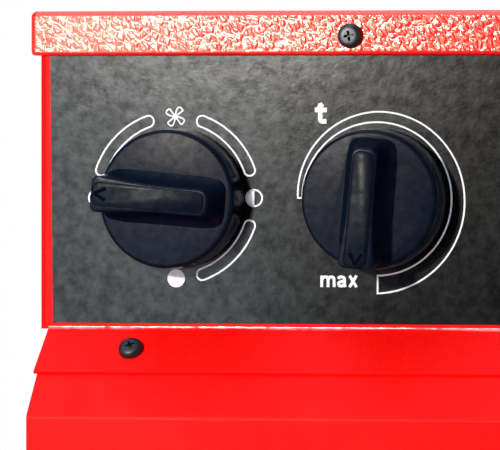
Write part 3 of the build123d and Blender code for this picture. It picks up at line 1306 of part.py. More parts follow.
left_clamp_knob = clamp_knob(pivot_planes[0])
left_clamp_knob.part.label = "left_clamp_knob"
export_step(left_clamp_knob.part, "parts/left_clamp_knob.step")

right_clamp_knob = clamp_knob(pivot_planes[1])
right_clamp_knob.part.label = "right_clamp_knob"
export_step(right_clamp_knob.part, "parts/right_clamp_knob.step")

left_clamp_stud = clamp_stud(pivot_planes[0])
left_clamp_stud.part.label = "left_clamp_stud"
export_step(left_clamp_stud.part, "parts/left_clamp_stud.step")

right_clamp_stud = clamp_stud(pivot_planes[1])
right_clamp_stud.part.label = "right_clamp_stud"
export_step(right_clamp_stud.part, "parts/right_clamp_stud.step")

console_screws = screw_group(lid_screw_planes + flange_screw_planes + console_side_planes)
console_screws.part.label = "console_screws"
export_step(console_screws.part, "parts/console_screws.step")

outlet_and_inlet = grille_screw_planes + guard_screw_planes + strap_screw_planes
casing_screws = screw_group(outlet_and_inlet + rear_screw_planes + bottom_screw_planes + roof_screw_planes)
casing_screws.part.label = "casing_screws"
export_step(casing_screws.part, "parts/casing_screws.step")

handle_screws = screw_group(handle_screw_planes)
handle_screws.part.label = "handle_screws"
export_step(handle_screws.part, "parts/handle_screws.step")
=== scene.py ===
# %% [markdown]
# # The red heater's control console, dressed in Blender
# The sheet metal, knobs, fan and stand of this heater are solid parts with their sizes already
# settled. This notebook loads them, gives every one a finish, and then models the small things that a
# person sees first: the two knobs, the printed dials and the screws. Everything is in metres, with the
# front of the heater towards -Y.

# %% Load the heater
import json
from math import cos, pi, radians, sin, sqrt

import bmesh
import bpy
from mathutils import Matrix, Vector
from mathutils.geometry import interpolate_bezier


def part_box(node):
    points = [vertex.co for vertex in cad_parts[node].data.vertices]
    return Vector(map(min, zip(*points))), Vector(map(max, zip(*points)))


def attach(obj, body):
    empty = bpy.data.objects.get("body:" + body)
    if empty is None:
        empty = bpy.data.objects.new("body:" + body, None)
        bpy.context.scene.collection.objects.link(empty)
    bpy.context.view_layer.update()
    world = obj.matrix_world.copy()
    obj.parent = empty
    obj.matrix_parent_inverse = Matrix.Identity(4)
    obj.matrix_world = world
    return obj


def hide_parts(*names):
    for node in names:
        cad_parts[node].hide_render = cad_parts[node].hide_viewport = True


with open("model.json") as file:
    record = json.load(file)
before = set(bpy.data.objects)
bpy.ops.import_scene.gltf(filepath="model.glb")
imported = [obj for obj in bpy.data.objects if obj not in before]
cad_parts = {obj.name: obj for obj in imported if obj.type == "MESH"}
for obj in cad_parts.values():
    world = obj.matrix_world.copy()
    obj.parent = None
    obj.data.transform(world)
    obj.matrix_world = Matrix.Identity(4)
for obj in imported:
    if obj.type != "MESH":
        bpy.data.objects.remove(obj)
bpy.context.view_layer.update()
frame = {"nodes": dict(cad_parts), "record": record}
node = frame["nodes"]

# %% [markdown]
# ## Small helpers
# Edit mode acts on whatever is selected, and loading leaves all parts selected. So each step first
# clears the selection, makes its own object active, and picks faces or points by where they are.
# Sizes are written in millimetres, as on a drawing, and MM turns them into metres.

# %% Helpers for selecting and finishing
MM = 0.001
NEAR = 0.01 * MM


def clear_selection():
    bpy.ops.object.select_all(action="DESELECT")


def take(piece):
    """Make one object the selected and active one."""
    clear_selection()
    piece.select_set(True)
    bpy.context.view_layer.objects.active = piece
    return piece


def new_piece(name):
    """Name the primitive that was just added, and hand it back."""
    piece = bpy.context.active_object
    piece.name = name
    piece.data.name = name
    return piece


def use_modifier(piece, kind, **settings):
    """Add a modifier with these settings and apply it at once."""
    take(piece)
    modifier = piece.modifiers.new(kind.title(), kind)
    for key, value in settings.items():
        setattr(modifier, key, value)
    bpy.ops.object.modifier_apply(modifier=modifier.name)
    return piece


def pick(piece, kind, test):
    """In edit mode, select only the vertices, edges or faces whose centre passes the test."""
    bpy.ops.mesh.select_mode(type=kind)
    bpy.ops.mesh.select_all(action="DESELECT")
    cage = bmesh.from_edit_mesh(piece.data)
    found = {"VERT": cage.verts, "EDGE": cage.edges, "FACE": cage.faces}[kind]
    for element in found:
        if kind == "VERT":
            centre = element.co
        elif kind == "EDGE":
            centre = (element.verts[0].co + element.verts[1].co) / 2
        else:
            centre = element.calc_center_median()
        if test(centre):
            element.select = True
    cage.select_flush_mode()
    bmesh.update_edit_mesh(piece.data)


def settle(piece):
    """Put the object's place into its mesh, so that the object itself sits at the origin."""
    take(piece)
    bpy.ops.object.transform_apply(location=True, rotation=True, scale=True)
    return piece


def own_copy(original):
    """A copy of a piece with a mesh of its own."""
    copy = original.copy()
    copy.data = original.data.copy()
    bpy.context.scene.collection.objects.link(copy)
    return copy


def triangles(piece):
    piece.data.calc_loop_triangles()
    return len(piece.data.loop_triangles)


def hand_over(piece, finish, body, slot, *stands_for):
    """Give the piece its finish and its body, and hide the parts it stands for. The slot is not used."""
    settle(piece)
    piece.data.materials.clear()
    piece.data.materials.append(finish)
    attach(piece, body)
    if stands_for:
        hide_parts(*stands_for)
    print(piece.name, triangles(piece), "triangles on", body)
    return piece


# %% [markdown]
# ## Shared effects as node groups
# Four effects come back in several finishes, so each is a node group with named inputs. Tone makes a
# colour a little lighter and darker in patches. Texture is the fine unevenness of cast, moulded or
# sprayed surfaces. Hammer is the raised cell pattern that hammertone paint dries into. Flats tells
# flat sheet from its bends, where that paint runs smooth.


# %% A small kit for building groups
def new_group(name, inputs, outputs):
    """Start a shader node group: inputs are (name, socket type, default), outputs (name, type)."""
    group = bpy.data.node_groups.new(name, "ShaderNodeTree")
    for label, kind, default in inputs:
        socket = group.interface.new_socket(label, in_out="INPUT", socket_type=kind)
        socket.default_value = default
    for label, kind in outputs:
        group.interface.new_socket(label, in_out="OUTPUT", socket_type=kind)
    start = group.nodes.new("NodeGroupInput")
    end = group.nodes.new("NodeGroupOutput")
    return group, start, end


def math_node(tree, operation, first, second):
    """A Math node; first and second are each a socket or a number."""
    step = tree.nodes.new("ShaderNodeMath")
    step.operation = operation
    for socket, value in zip(step.inputs, (first, second)):
        if isinstance(value, (int, float)):
            socket.default_value = value
        else:
            tree.links.new(value, socket)
    return step.outputs[0]


def noise_node(tree, scale, detail, roughness=0.5, vector=None):
    """Noise on Object coordinates; scale is a socket or a number of waves per metre."""
    texture = tree.nodes.new("ShaderNodeTexNoise")
    texture.inputs["Detail"].default_value = detail
    texture.inputs["Roughness"].default_value = roughness
    if isinstance(scale, (int, float)):
        texture.inputs["Scale"].default_value = scale
    else:
        tree.links.new(scale, texture.inputs["Scale"])
    if vector is None:
        vector = tree.nodes.new("ShaderNodeTexCoord").outputs["Object"]
    tree.links.new(vector, texture.inputs["Vector"])
    return texture


# %% Tone: patches of lighter and darker colour
tone_group, start, end = new_group(
    "uneven_tone",
    [
        ("Dark", "NodeSocketColor", (0.1, 0.1, 0.1, 1)),
        ("Light", "NodeSocketColor", (0.2, 0.2, 0.2, 1)),
        ("Patches", "NodeSocketFloat", 60.0),
    ],
    [("Color", "NodeSocketColor"), ("Mask", "NodeSocketFloat")],
)
patches = noise_node(tone_group, start.outputs["Patches"], detail=5.0, roughness=0.6)
spread = tone_group.nodes.new("ShaderNodeMapRange")
spread.inputs["From Min"].default_value = 0.32
spread.inputs["From Max"].default_value = 0.68
tone_group.links.new(patches.outputs["Fac"], spread.inputs["Value"])
blend = tone_group.nodes.new("ShaderNodeMix")
blend.data_type = "RGBA"
tone_group.links.new(spread.outputs["Result"], blend.inputs["Factor"])
tone_group.links.new(start.outputs["Dark"], blend.inputs["A"])
tone_group.links.new(start.outputs["Light"], blend.inputs["B"])
tone_group.links.new(blend.outputs["Result"], end.inputs["Color"])
tone_group.links.new(spread.outputs["Result"], end.inputs["Mask"])
print("group", tone_group.name)

# %% Texture: fine unevenness for bump and gloss
WIPED_PER_GRAIN = 0.06
texture_group, start, end = new_group(
    "fine_texture",
    [
        ("Grains", "NodeSocketFloat", 900.0),
        ("Dull", "NodeSocketFloat", 0.5),
        ("Bright", "NodeSocketFloat", 0.3),
    ],
    [("Height", "NodeSocketFloat"), ("Roughness", "NodeSocketFloat")],
)
grains = noise_node(texture_group, start.outputs["Grains"], detail=3.0, roughness=0.55)
wiped_scale = math_node(texture_group, "MULTIPLY", start.outputs["Grains"], WIPED_PER_GRAIN)
wiped = noise_node(texture_group, wiped_scale, detail=4.0, roughness=0.65)
gloss = texture_group.nodes.new("ShaderNodeMapRange")
gloss.inputs["From Min"].default_value = 0.3
gloss.inputs["From Max"].default_value = 0.7
texture_group.links.new(wiped.outputs["Fac"], gloss.inputs["Value"])
texture_group.links.new(start.outputs["Bright"], gloss.inputs["To Min"])
texture_group.links.new(start.outputs["Dull"], gloss.inputs["To Max"])
texture_group.links.new(grains.outputs["Fac"], end.inputs["Height"])
texture_group.links.new(gloss.outputs["Result"], end.inputs["Roughness"])
print("group", texture_group.name)

# %% Hammer: flat cells that lean a little, parted by narrow valleys
CELL_SLANT = radians(-40)
CELL_STRETCH = 1.8
BENDS_PER_CELL, LEANS_PER_CELL = 0.8, 0.6
NOISE_MEAN = (0.5, 0.5, 0.5)
hammer_group, start, end = new_group(
    "hammer_relief",
    [
        ("Cells", "NodeSocketFloat", 420.0),
        ("Wander", "NodeSocketFloat", 0.0012),
        ("Valley", "NodeSocketFloat", 0.2),
        ("Lean", "NodeSocketFloat", 0.5),
    ],
    [("Height", "NodeSocketFloat")],
)
place = hammer_group.nodes.new("ShaderNodeTexCoord").outputs["Object"]
bend_scale = math_node(hammer_group, "MULTIPLY", start.outputs["Cells"], BENDS_PER_CELL)
bend = noise_node(hammer_group, bend_scale, detail=2.0, vector=place)
centred = hammer_group.nodes.new("ShaderNodeVectorMath")
centred.operation = "SUBTRACT"
centred.inputs[1].default_value = NOISE_MEAN
hammer_group.links.new(bend.outputs["Color"], centred.inputs[0])
shift = hammer_group.nodes.new("ShaderNodeVectorMath")
shift.operation = "SCALE"
hammer_group.links.new(centred.outputs["Vector"], shift.inputs[0])
hammer_group.links.new(start.outputs["Wander"], shift.inputs["Scale"])
bent = hammer_group.nodes.new("ShaderNodeVectorMath")
bent.operation = "ADD"
hammer_group.links.new(place, bent.inputs[0])
hammer_group.links.new(shift.outputs["Vector"], bent.inputs[1])
slant = hammer_group.nodes.new("ShaderNodeMapping")
slant.vector_type = "TEXTURE"
slant.inputs["Rotation"].default_value = (0, CELL_SLANT, 0)
slant.inputs["Scale"].default_value = (1, 1, CELL_STRETCH)
hammer_group.links.new(bent.outputs["Vector"], slant.inputs["Vector"])
cells = hammer_group.nodes.new("ShaderNodeTexVoronoi")
cells.feature = "DISTANCE_TO_EDGE"
hammer_group.links.new(slant.outputs["Vector"], cells.inputs["Vector"])
hammer_group.links.new(start.outputs["Cells"], cells.inputs["Scale"])
plateau = hammer_group.nodes.new("ShaderNodeMapRange")
plateau.interpolation_type = "SMOOTHSTEP"
hammer_group.links.new(cells.outputs["Distance"], plateau.inputs["Value"])
hammer_group.links.new(start.outputs["Valley"], plateau.inputs["From Max"])
lean_scale = math_node(hammer_group, "MULTIPLY", start.outputs["Cells"], LEANS_PER_CELL)
lean = noise_node(hammer_group, lean_scale, detail=1.0, vector=place)
lean_part = math_node(hammer_group, "MULTIPLY", lean.outputs["Fac"], start.outputs["Lean"])
relief = math_node(hammer_group, "ADD", plateau.outputs["Result"], lean_part)
hammer_group.links.new(relief, end.inputs["Height"])
print("group", hammer_group.name)

# %% Flats: full on flat sheet, nothing on its bends, where paint runs smooth
def true_normal(tree):
    """The X, Y and Z parts of the way that a face points."""
    parts = tree.nodes.new("ShaderNodeSeparateXYZ")
    geometry = tree.nodes.new("ShaderNodeNewGeometry")
    tree.links.new(geometry.outputs["True Normal"], parts.inputs[0])
    return parts.outputs


DIAGONAL, DIAGONAL_SLACK = sqrt(0.5), 0.01
flats_group, start, end = new_group("flats_only", [], [("Amount", "NodeSocketFloat")])
facing = true_normal(flats_group)
largest = 0.0
for axis in "XYZ":
    part = math_node(flats_group, "ABSOLUTE", facing[axis], 0.0)
    largest = math_node(flats_group, "MAXIMUM", part, largest)
square = flats_group.nodes.new("ShaderNodeMapRange")
square.inputs["From Min"].default_value = 0.985
square.inputs["From Max"].default_value = 0.9995
flats_group.links.new(largest, square.inputs["Value"])
past_diagonal = math_node(flats_group, "SUBTRACT", largest, DIAGONAL)
off_diagonal = math_node(flats_group, "ABSOLUTE", past_diagonal, 0.0)
slanted = math_node(flats_group, "LESS_THAN", off_diagonal, DIAGONAL_SLACK)
flat = math_node(flats_group, "MAXIMUM", square.outputs["Result"], slanted)
flats_group.links.new(flat, end.inputs["Amount"])
print("group", flats_group.name)

# %% [markdown]
# ## Finishes
# Each finish is one Principled shader. Its colour comes from the tone group, its gloss and fine bump
# from the texture group, and the paint adds the hammer group. The black label and knobs get a clear
# skin in patches as well, which mottles what they mirror. Numbers that are the same all over a surface
# are set on the shader itself. Patches and grains are counts per metre, and relief is a depth.


# %% One maker for all plain finishes
def place_group(tree, group, **values):
    """Put a group in a material and set its named inputs."""
    spot = tree.nodes.new("ShaderNodeGroup")
    spot.node_tree = group
    for key, value in values.items():
        spot.inputs[key].default_value = value
    return spot


def make_finish(
    name, dark, light, patches, gloss, grains, relief, metallic=0.0, coat=0.0, **shader_values
):
    """A finish from tone and texture: gloss is the roughness where it is brightest and dullest."""
    material = bpy.data.materials.new(name)
    material.use_nodes = True
    tree = material.node_tree
    shader = tree.nodes["Principled BSDF"]
    tone = place_group(tree, tone_group, Dark=(*dark, 1), Light=(*light, 1), Patches=patches)
    texture = place_group(tree, texture_group, Grains=grains, Bright=gloss[0], Dull=gloss[1])
    bump = tree.nodes.new("ShaderNodeBump")
    bump.inputs["Distance"].default_value = relief
    tree.links.new(tone.outputs["Color"], shader.inputs["Base Color"])
    tree.links.new(texture.outputs["Roughness"], shader.inputs["Roughness"])
    tree.links.new(texture.outputs["Height"], bump.inputs["Height"])
    tree.links.new(bump.outputs["Normal"], shader.inputs["Normal"])
    shader.inputs["Metallic"].default_value = metallic
    shader.inputs["Coat Weight"].default_value = coat
    for key, value in shader_values.items():
        shader.inputs[key.replace("_", " ")].default_value = value
    return material


def add_hammer(material, cells, wander, valley, lean, height):
    """Lay the hammer relief over a finish's fine bump."""
    tree = material.node_tree
    shader = tree.nodes["Principled BSDF"]
    under = shader.inputs["Normal"].links[0].from_socket
    hammer = place_group(tree, hammer_group, Cells=cells, Wander=wander, Valley=valley, Lean=lean)
    flats = place_group(tree, flats_group)
    bump = tree.nodes.new("ShaderNodeBump")
    bump.inputs["Distance"].default_value = height
    tree.links.new(hammer.outputs["Height"], bump.inputs["Height"])
    tree.links.new(flats.outputs["Amount"], bump.inputs["Strength"])
    tree.links.new(under, bump.inputs["Normal"])
    tree.links.new(bump.outputs["Normal"], shader.inputs["Normal"])


# %% A clear skin that comes and goes in patches, on all of a surface or on its bends only
def patches_of(tree):
    """The mask that a finish's uneven tone is mixed by."""
    tone = next(step for step in tree.nodes if getattr(step, "node_tree", None) == tone_group)
    return tone.outputs["Mask"]


def gloss_in_patches(material):
    """Give the whole surface its skin in patches."""
    tree = material.node_tree
    tree.links.new(patches_of(tree), tree.nodes["Principled BSDF"].inputs["Coat Weight"])


UPWARDS = 0.1


def gloss_on_bends(material):
    """Give the paint its skin where the sheet bends and faces partly upwards."""
    tree = material.node_tree
    flats = place_group(tree, flats_group)
    bends = math_node(tree, "SUBTRACT", 1.0, flats.outputs["Amount"])
    upwards = math_node(tree, "GREATER_THAN", true_normal(tree)["Z"], UPWARDS)
    skin = math_node(tree, "MULTIPLY", math_node(tree, "MULTIPLY", bends, upwards), patches_of(tree))
    tree.links.new(skin, tree.nodes["Principled BSDF"].inputs["Coat Weight"])


# %% Slow ripples, as film over rough paint and moulded plastic have
def add_ripple(material, waves, height):
    """Lay a slow, shallow noise over a finish's fine bump."""
    tree = material.node_tree
    shader = tree.nodes["Principled BSDF"]
    under = shader.inputs["Normal"].links[0].from_socket
    bump = tree.nodes.new("ShaderNodeBump")
    bump.inputs["Distance"].default_value = height
    ripple = noise_node(tree, waves, detail=4.0, roughness=0.6)
    tree.links.new(ripple.outputs["Fac"], bump.inputs["Height"])
    tree.links.new(under, bump.inputs["Normal"])
    tree.links.new(bump.outputs["Normal"], shader.inputs["Normal"])


# %% The red paint, coarse on the lid and finer on the rest
FINE_HAMMER = dict(cells=600.0, wander=1.4 * MM, valley=0.45, lean=0.5, height=0.02 * MM)
RED_DARK, RED_LIGHT = (0.86, 0.0035, 0.0030), (0.93, 0.0060, 0.0045)
lid_paint = make_finish(
    "red_hammer_paint_coarse", dark=RED_DARK, light=RED_LIGHT,
    patches=90.0, gloss=(0.19, 0.24), grains=1400.0, relief=0.008 * MM,
    Specular_IOR_Level=1.0, Specular_Tint=(1.0, 0.93, 0.72, 1.0),
)
add_hammer(lid_paint, cells=540.0, wander=1.6 * MM, valley=0.36, lean=1.0, height=0.13 * MM)
body_paint = make_finish(
    "red_hammer_paint", dark=RED_DARK, light=RED_LIGHT,
    patches=60.0, gloss=(0.34, 0.44), grains=1400.0, relief=0.006 * MM, Specular_IOR_Level=0.04,
)
add_hammer(body_paint, **FINE_HAMMER)
cover_paint = make_finish(
    "red_hammer_paint_glossy_bend", dark=RED_DARK, light=RED_LIGHT,
    patches=420.0, gloss=(0.34, 0.44), grains=1400.0, relief=0.006 * MM,
    Specular_IOR_Level=0.04, Coat_Roughness=0.22, Coat_IOR=2.4,
)
add_hammer(cover_paint, **FINE_HAMMER)
gloss_on_bends(cover_paint)
print("paints", lid_paint.name, body_paint.name, cover_paint.name)

# %% The label film, print and plastics
label_film = make_finish(
    "label_film", dark=(0.0012, 0.0013, 0.0016), light=(0.0022, 0.0023, 0.0027),
    patches=300.0, gloss=(0.19, 0.24), grains=1700.0, relief=0.014 * MM,
    Specular_IOR_Level=0.125, Coat_Roughness=0.22, Coat_IOR=1.26,
)
add_ripple(label_film, waves=330.0, height=0.06 * MM)
gloss_in_patches(label_film)
print_white = make_finish(
    "label_print", dark=(0.86, 0.87, 0.90), light=(0.92, 0.93, 0.95),
    patches=300.0, gloss=(0.35, 0.5), grains=1500.0, relief=0.005 * MM, Specular_IOR_Level=0.1,
)
knob_plastic = make_finish(
    "knob_plastic", dark=(0.0016, 0.0038, 0.0108), light=(0.0028, 0.0060, 0.0160),
    patches=330.0, gloss=(0.28, 0.34), grains=1600.0, relief=0.010 * MM,
    Specular_IOR_Level=0.04, Specular_Tint=(1.0, 0.92, 0.82, 1.0), Coat_Roughness=0.26, Coat_IOR=1.10,
)
add_ripple(knob_plastic, waves=330.0, height=0.06 * MM)
gloss_in_patches(knob_plastic)
insert_plastic = make_finish(
    "knob_insert_plastic", dark=(0.0018, 0.0036, 0.0085), light=(0.0032, 0.0056, 0.0120),
    patches=330.0, gloss=(0.26, 0.32), grains=1300.0, relief=0.010 * MM,
    Specular_IOR_Level=0.02, Coat_Roughness=0.24, Coat_IOR=1.10,
)
add_ripple(insert_plastic, waves=400.0, height=0.05 * MM)
gloss_in_patches(insert_plastic)
switch_plastic = make_finish(
    "switch_plastic", dark=(0.030, 0.030, 0.032), light=(0.045, 0.045, 0.046),
    patches=90.0, gloss=(0.40, 0.55), grains=1500.0, relief=0.020 * MM,
)
seal_rubber = make_finish(
    "seal_rubber", dark=(0.018, 0.018, 0.018), light=(0.030, 0.030, 0.030),
    patches=80.0, gloss=(0.62, 0.80), grains=1300.0, relief=0.040 * MM,
)
black_paint = make_finish(
    "black_paint", dark=(0.012, 0.012, 0.013), light=(0.020, 0.020, 0.021),
    patches=60.0, gloss=(0.28, 0.42), grains=1100.0, relief=0.030 * MM, coat=0.3,
)
button_red = make_finish(
    "button_red", dark=(0.55, 0.010, 0.008), light=(0.64, 0.016, 0.012),
    patches=90.0, gloss=(0.28, 0.4), grains=1500.0, relief=0.010 * MM,
)
print("label and plastics done")

# %% The metals
zinc_steel = make_finish(
    "zinc_steel", dark=(0.46, 0.47, 0.49), light=(0.62, 0.62, 0.63),
    patches=110.0, gloss=(0.26, 0.42), grains=900.0, relief=0.020 * MM, metallic=1.0,
)
black_screw = make_finish(
    "black_screw", dark=(0.010, 0.011, 0.014), light=(0.022, 0.023, 0.027),
    patches=500.0, gloss=(0.30, 0.5), grains=2200.0, relief=0.020 * MM, metallic=0.3,
)
brass = make_finish(
    "brass", dark=(0.62, 0.42, 0.14), light=(0.74, 0.53, 0.20),
    patches=150.0, gloss=(0.22, 0.38), grains=900.0, relief=0.010 * MM, metallic=1.0,
)
copper = make_finish(
    "copper", dark=(0.66, 0.30, 0.16), light=(0.80, 0.40, 0.24),
    patches=150.0, gloss=(0.22, 0.36), grains=900.0, relief=0.010 * MM, metallic=1.0,
)
duct_steel = make_finish(
    "duct_steel", dark=(0.40, 0.41, 0.42), light=(0.56, 0.56, 0.57),
    patches=70.0, gloss=(0.30, 0.5), grains=700.0, relief=0.030 * MM, metallic=1.0,
)
element_steel = make_finish(
    "element_steel", dark=(0.16, 0.14, 0.12), light=(0.34, 0.30, 0.26),
    patches=90.0, gloss=(0.34, 0.55), grains=900.0, relief=0.030 * MM, metallic=0.9,
)
fan_aluminium = make_finish(
    "fan_aluminium", dark=(0.62, 0.63, 0.65), light=(0.76, 0.77, 0.78),
    patches=80.0, gloss=(0.24, 0.40), grains=800.0, relief=0.020 * MM, metallic=1.0,
)
stack_steel = make_finish(
    "stack_steel", dark=(0.20, 0.19, 0.18), light=(0.34, 0.32, 0.30),
    patches=200.0, gloss=(0.40, 0.6), grains=1800.0, relief=0.040 * MM, metallic=0.8,
)
coil_winding = make_finish(
    "coil_winding", dark=(0.42, 0.14, 0.05), light=(0.58, 0.22, 0.08),
    patches=220.0, gloss=(0.26, 0.4), grains=1600.0, relief=0.040 * MM, metallic=0.5,
)
lens_amber = make_finish(
    "lens_amber", dark=(0.75, 0.22, 0.02), light=(0.88, 0.32, 0.05),
    patches=90.0, gloss=(0.08, 0.16), grains=900.0, relief=0.010 * MM, coat=0.6, Transmission_Weight=0.5,
)
print("metals and lens done")

# %% [markdown]
# ## Dressing the solid parts
# The record names a slot for each part. A part keeps its solid shape and takes the finish of its
# slot. Two parts are exceptions. The paint lies thicker on the lid, so it has the coarse version, and
# the console's cover has the version that is glossy where the sheet bends.

# %% Which finish goes with which slot
finish_of_slot = {
    "red_hammer_paint": body_paint,
    "black_paint": black_paint,
    "label_film": label_film,
    "knob_plastic": knob_plastic,
    "switch_plastic": switch_plastic,
    "zinc_steel": zinc_steel,
    "black_screw": black_screw,
    "brass": brass,
    "copper": copper,
    "lens_amber": lens_amber,
    "button_red": button_red,
    "seal_rubber": seal_rubber,
    "duct_steel": duct_steel,
    "element_steel": element_steel,
    "fan_aluminium": fan_aluminium,
    "stack_steel": stack_steel,
    "coil_winding": coil_winding,
}
finish_of_node = {"console_lid": lid_paint, "console_cover": cover_paint}
slot_of_node = {entry["node"]: entry["material_slot"] for entry in frame["record"]["subparts"]}
for name, part in node.items():
    finish = finish_of_node.get(name, finish_of_slot[slot_of_node[name]])
    part.data.materials.clear()
    part.data.materials.append(finish)
print(len(node), "parts dressed from", len(finish_of_slot), "slots")

# %% [markdown]
# ## The printed dials
# The white marks are screen print: flat shapes a few hundredths of a millimetre thick. Each is drawn
# in a flat plane first, X to the right and Y up, and then stood up against the label. A drawn outline
# is a filled shape whose rim is inset to the line's width, with the middle deleted.

# %% Where the label and the dials are
LABEL_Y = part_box("control_label")[0].y
SELECTOR_DIAL = (-58.7 * MM, 326.4 * MM)
THERMOSTAT_DIAL = (8.2 * MM, 326.2 * MM)
LINE = 0.55 * MM
INK = 0.05 * MM
DIAL_R = 26.3 * MM
BAND_INNER_R = 24.4 * MM
BAND_OUTER_RS = (26.4 * MM, 28.3 * MM, 29.2 * MM, 30.7 * MM)
STAND_UP = Matrix(((1, 0, 0, 0), (0, 0, -1, 0), (0, 1, 0, 0), (0, 0, 0, 1)))
print("label front at y =", round(LABEL_Y / MM, 2), "mm")


# %% Tools for drawing a mark
def outline_only(piece, width=LINE):
    """Turn a flat filled shape into its outline."""
    take(piece)
    bpy.ops.object.mode_set(mode="EDIT")
    bpy.ops.mesh.select_all(action="SELECT")
    bpy.ops.mesh.remove_doubles(threshold=NEAR)
    bpy.ops.mesh.dissolve_limited(angle_limit=radians(0.5))
    bpy.ops.mesh.select_all(action="SELECT")
    bpy.ops.mesh.inset(thickness=width)
    bpy.ops.mesh.delete(type="FACE")
    bpy.ops.object.mode_set(mode="OBJECT")
    return piece


def arc_shape(name, inner, outer, first, last, steps=48):
    """A flat band round the origin; inner and outer give the radius at a share of the way along."""
    clear_selection()
    bpy.ops.mesh.primitive_grid_add(x_subdivisions=steps, y_subdivisions=1, size=2)
    band = new_piece(name)
    for vertex in band.data.vertices:
        share = (vertex.co.x + 1) / 2
        angle = radians(first + (last - first) * share)
        reach = outer(share) if vertex.co.y > 0 else inner(share)
        vertex.co = (reach * cos(angle), reach * sin(angle), 0)
    return band


def soft_path(points, steps=8):
    """Points along a soft curve through the given ones."""
    ends = [points[0], *points, points[-1]]
    path = []
    for before, first, last, after in zip(ends, ends[1:], ends[2:], ends[3:]):
        handles = first + (last - before) / 6, last - (after - first) / 6
        path += interpolate_bezier(first, *handles, last, steps)[:-1]
    return path + [points[-1]]


def stroke(name, points, width, raised=0.0):
    """A flat line of even width along a soft path, with points in millimetres."""
    path = soft_path([Vector((x * MM, y * MM, raised * MM)) for x, y in points])
    last = len(path) - 1
    clear_selection()
    bpy.ops.mesh.primitive_grid_add(x_subdivisions=last, y_subdivisions=1, size=2)
    line = new_piece(name)
    for vertex in line.data.vertices:
        index = round((vertex.co.x + 1) / 2 * last)
        along = path[min(index + 1, last)] - path[max(index - 1, 0)]
        aside = Vector((-along.y, along.x, 0)).normalized() * width * MM / 2
        vertex.co = path[index] + (aside if vertex.co.y > 0 else -aside)
    return line


def join(pieces, name):
    clear_selection()
    for piece in pieces:
        piece.select_set(True)
    bpy.context.view_layer.objects.active = pieces[0]
    bpy.ops.object.join()
    return new_piece(name)


def put_on_label(piece, dial, offset=(0.0, 0.0)):
    """Give a flat mark its ink thickness and stand it on the label, offset from a dial's centre."""
    use_modifier(piece, "SOLIDIFY", thickness=INK, offset=1.0)
    move = Matrix.Translation((dial[0] + offset[0], LABEL_Y, dial[1] + offset[1]))
    piece.data.transform(move @ STAND_UP)
    take(piece)
    bpy.ops.object.mode_set(mode="EDIT")
    bpy.ops.mesh.select_all(action="SELECT")
    bpy.ops.mesh.normals_make_consistent(inside=False)
    bpy.ops.object.mode_set(mode="OBJECT")
    return hand_over(piece, print_white, "heater", "label_film")


# %% Three rounded slots between the selector's positions
SLOT_HALF_W, SLOT_HALF_ANGLE = 2.1 * MM, 29.7


def slot_half(share):
    """Half the slot's width at a share of the way along: full, and round at both ends."""
    to_end = min(share, 1 - share) * 2 * radians(SLOT_HALF_ANGLE) * DIAL_R
    short = max(0.0, SLOT_HALF_W - to_end)
    return sqrt(SLOT_HALF_W * SLOT_HALF_W - short * short)


for name, middle in (("upper_left", 135.0), ("upper_right", 45.0), ("lower_right", -45.0)):
    slot_mark = arc_shape(
        "slot_mark_" + name,
        lambda share: DIAL_R - slot_half(share),
        lambda share: DIAL_R + slot_half(share),
        middle + SLOT_HALF_ANGLE,
        middle - SLOT_HALF_ANGLE,
        steps=96,
    )
    put_on_label(outline_only(slot_mark), SELECTOR_DIAL)

# %% The thermostat's band, which widens from cold to hot
def outer_radius(share):
    """Radius of the outer line at a share of the way from nine o'clock to six."""
    place = share * (len(BAND_OUTER_RS) - 1)
    low = min(int(place), len(BAND_OUTER_RS) - 2)
    return BAND_OUTER_RS[low] + (BAND_OUTER_RS[low + 1] - BAND_OUTER_RS[low]) * (place - low)


band_mark = arc_shape("band_mark", lambda share: BAND_INNER_R, outer_radius, 180.0, -90.0, steps=96)
put_on_label(outline_only(band_mark), THERMOSTAT_DIAL)

# %% Full heat: a disc. Half heat: a ring with its left half filled. Off: an open ring
SPOT_R = 2.9 * MM
FULL_HEAT_SHIFT = 0.3 * MM


def spot(name, radius=SPOT_R):
    clear_selection()
    bpy.ops.mesh.primitive_circle_add(vertices=40, radius=radius, fill_type="NGON")
    return new_piece(name)


put_on_label(spot("full_heat_mark"), SELECTOR_DIAL, (FULL_HEAT_SHIFT, FULL_HEAT_SHIFT - DIAL_R))
put_on_label(outline_only(spot("off_mark")), SELECTOR_DIAL, (-DIAL_R, 0.0))
put_on_label(outline_only(spot("half_heat_ring")), SELECTOR_DIAL, (DIAL_R, 0.0))
half = spot("half_heat_fill", SPOT_R - LINE / 2)
take(half)
bpy.ops.object.mode_set(mode="EDIT")
bpy.ops.mesh.select_all(action="SELECT")
bpy.ops.mesh.bisect(plane_co=(0, 0, 0), plane_no=(1, 0, 0), clear_outer=True)
bpy.ops.object.mode_set(mode="OBJECT")
put_on_label(half, SELECTOR_DIAL, (DIAL_R, 0.0))

# %% Fan only: four blade loops, each straight on one side, that meet in a spot
BLADE_ROUND = ((0.0, 0.0), (0.12, 1.0), (0.42, 2.0), (0.85, 2.75), (1.40, 3.0), (2.0, 2.7), (2.6, 1.95))
BLADE_STRAIGHT = ((2.6, 1.95), (0.0, 0.0))
BLADE_LINE, CENTRE_R = 0.45, 0.52 * MM
HAIR = 0.004
blades = [spot("fan_centre", CENTRE_R)]
for turn in (0, 90, 180, 270):
    for points in (BLADE_ROUND, BLADE_STRAIGHT):
        blade = stroke("fan_blade", points, BLADE_LINE, raised=HAIR * len(blades))
        blade.data.transform(Matrix.Rotation(radians(turn), 4, "Z"))
        blades.append(blade)
put_on_label(join(blades, "fan_mark"), SELECTOR_DIAL, (0.0, DIAL_R))

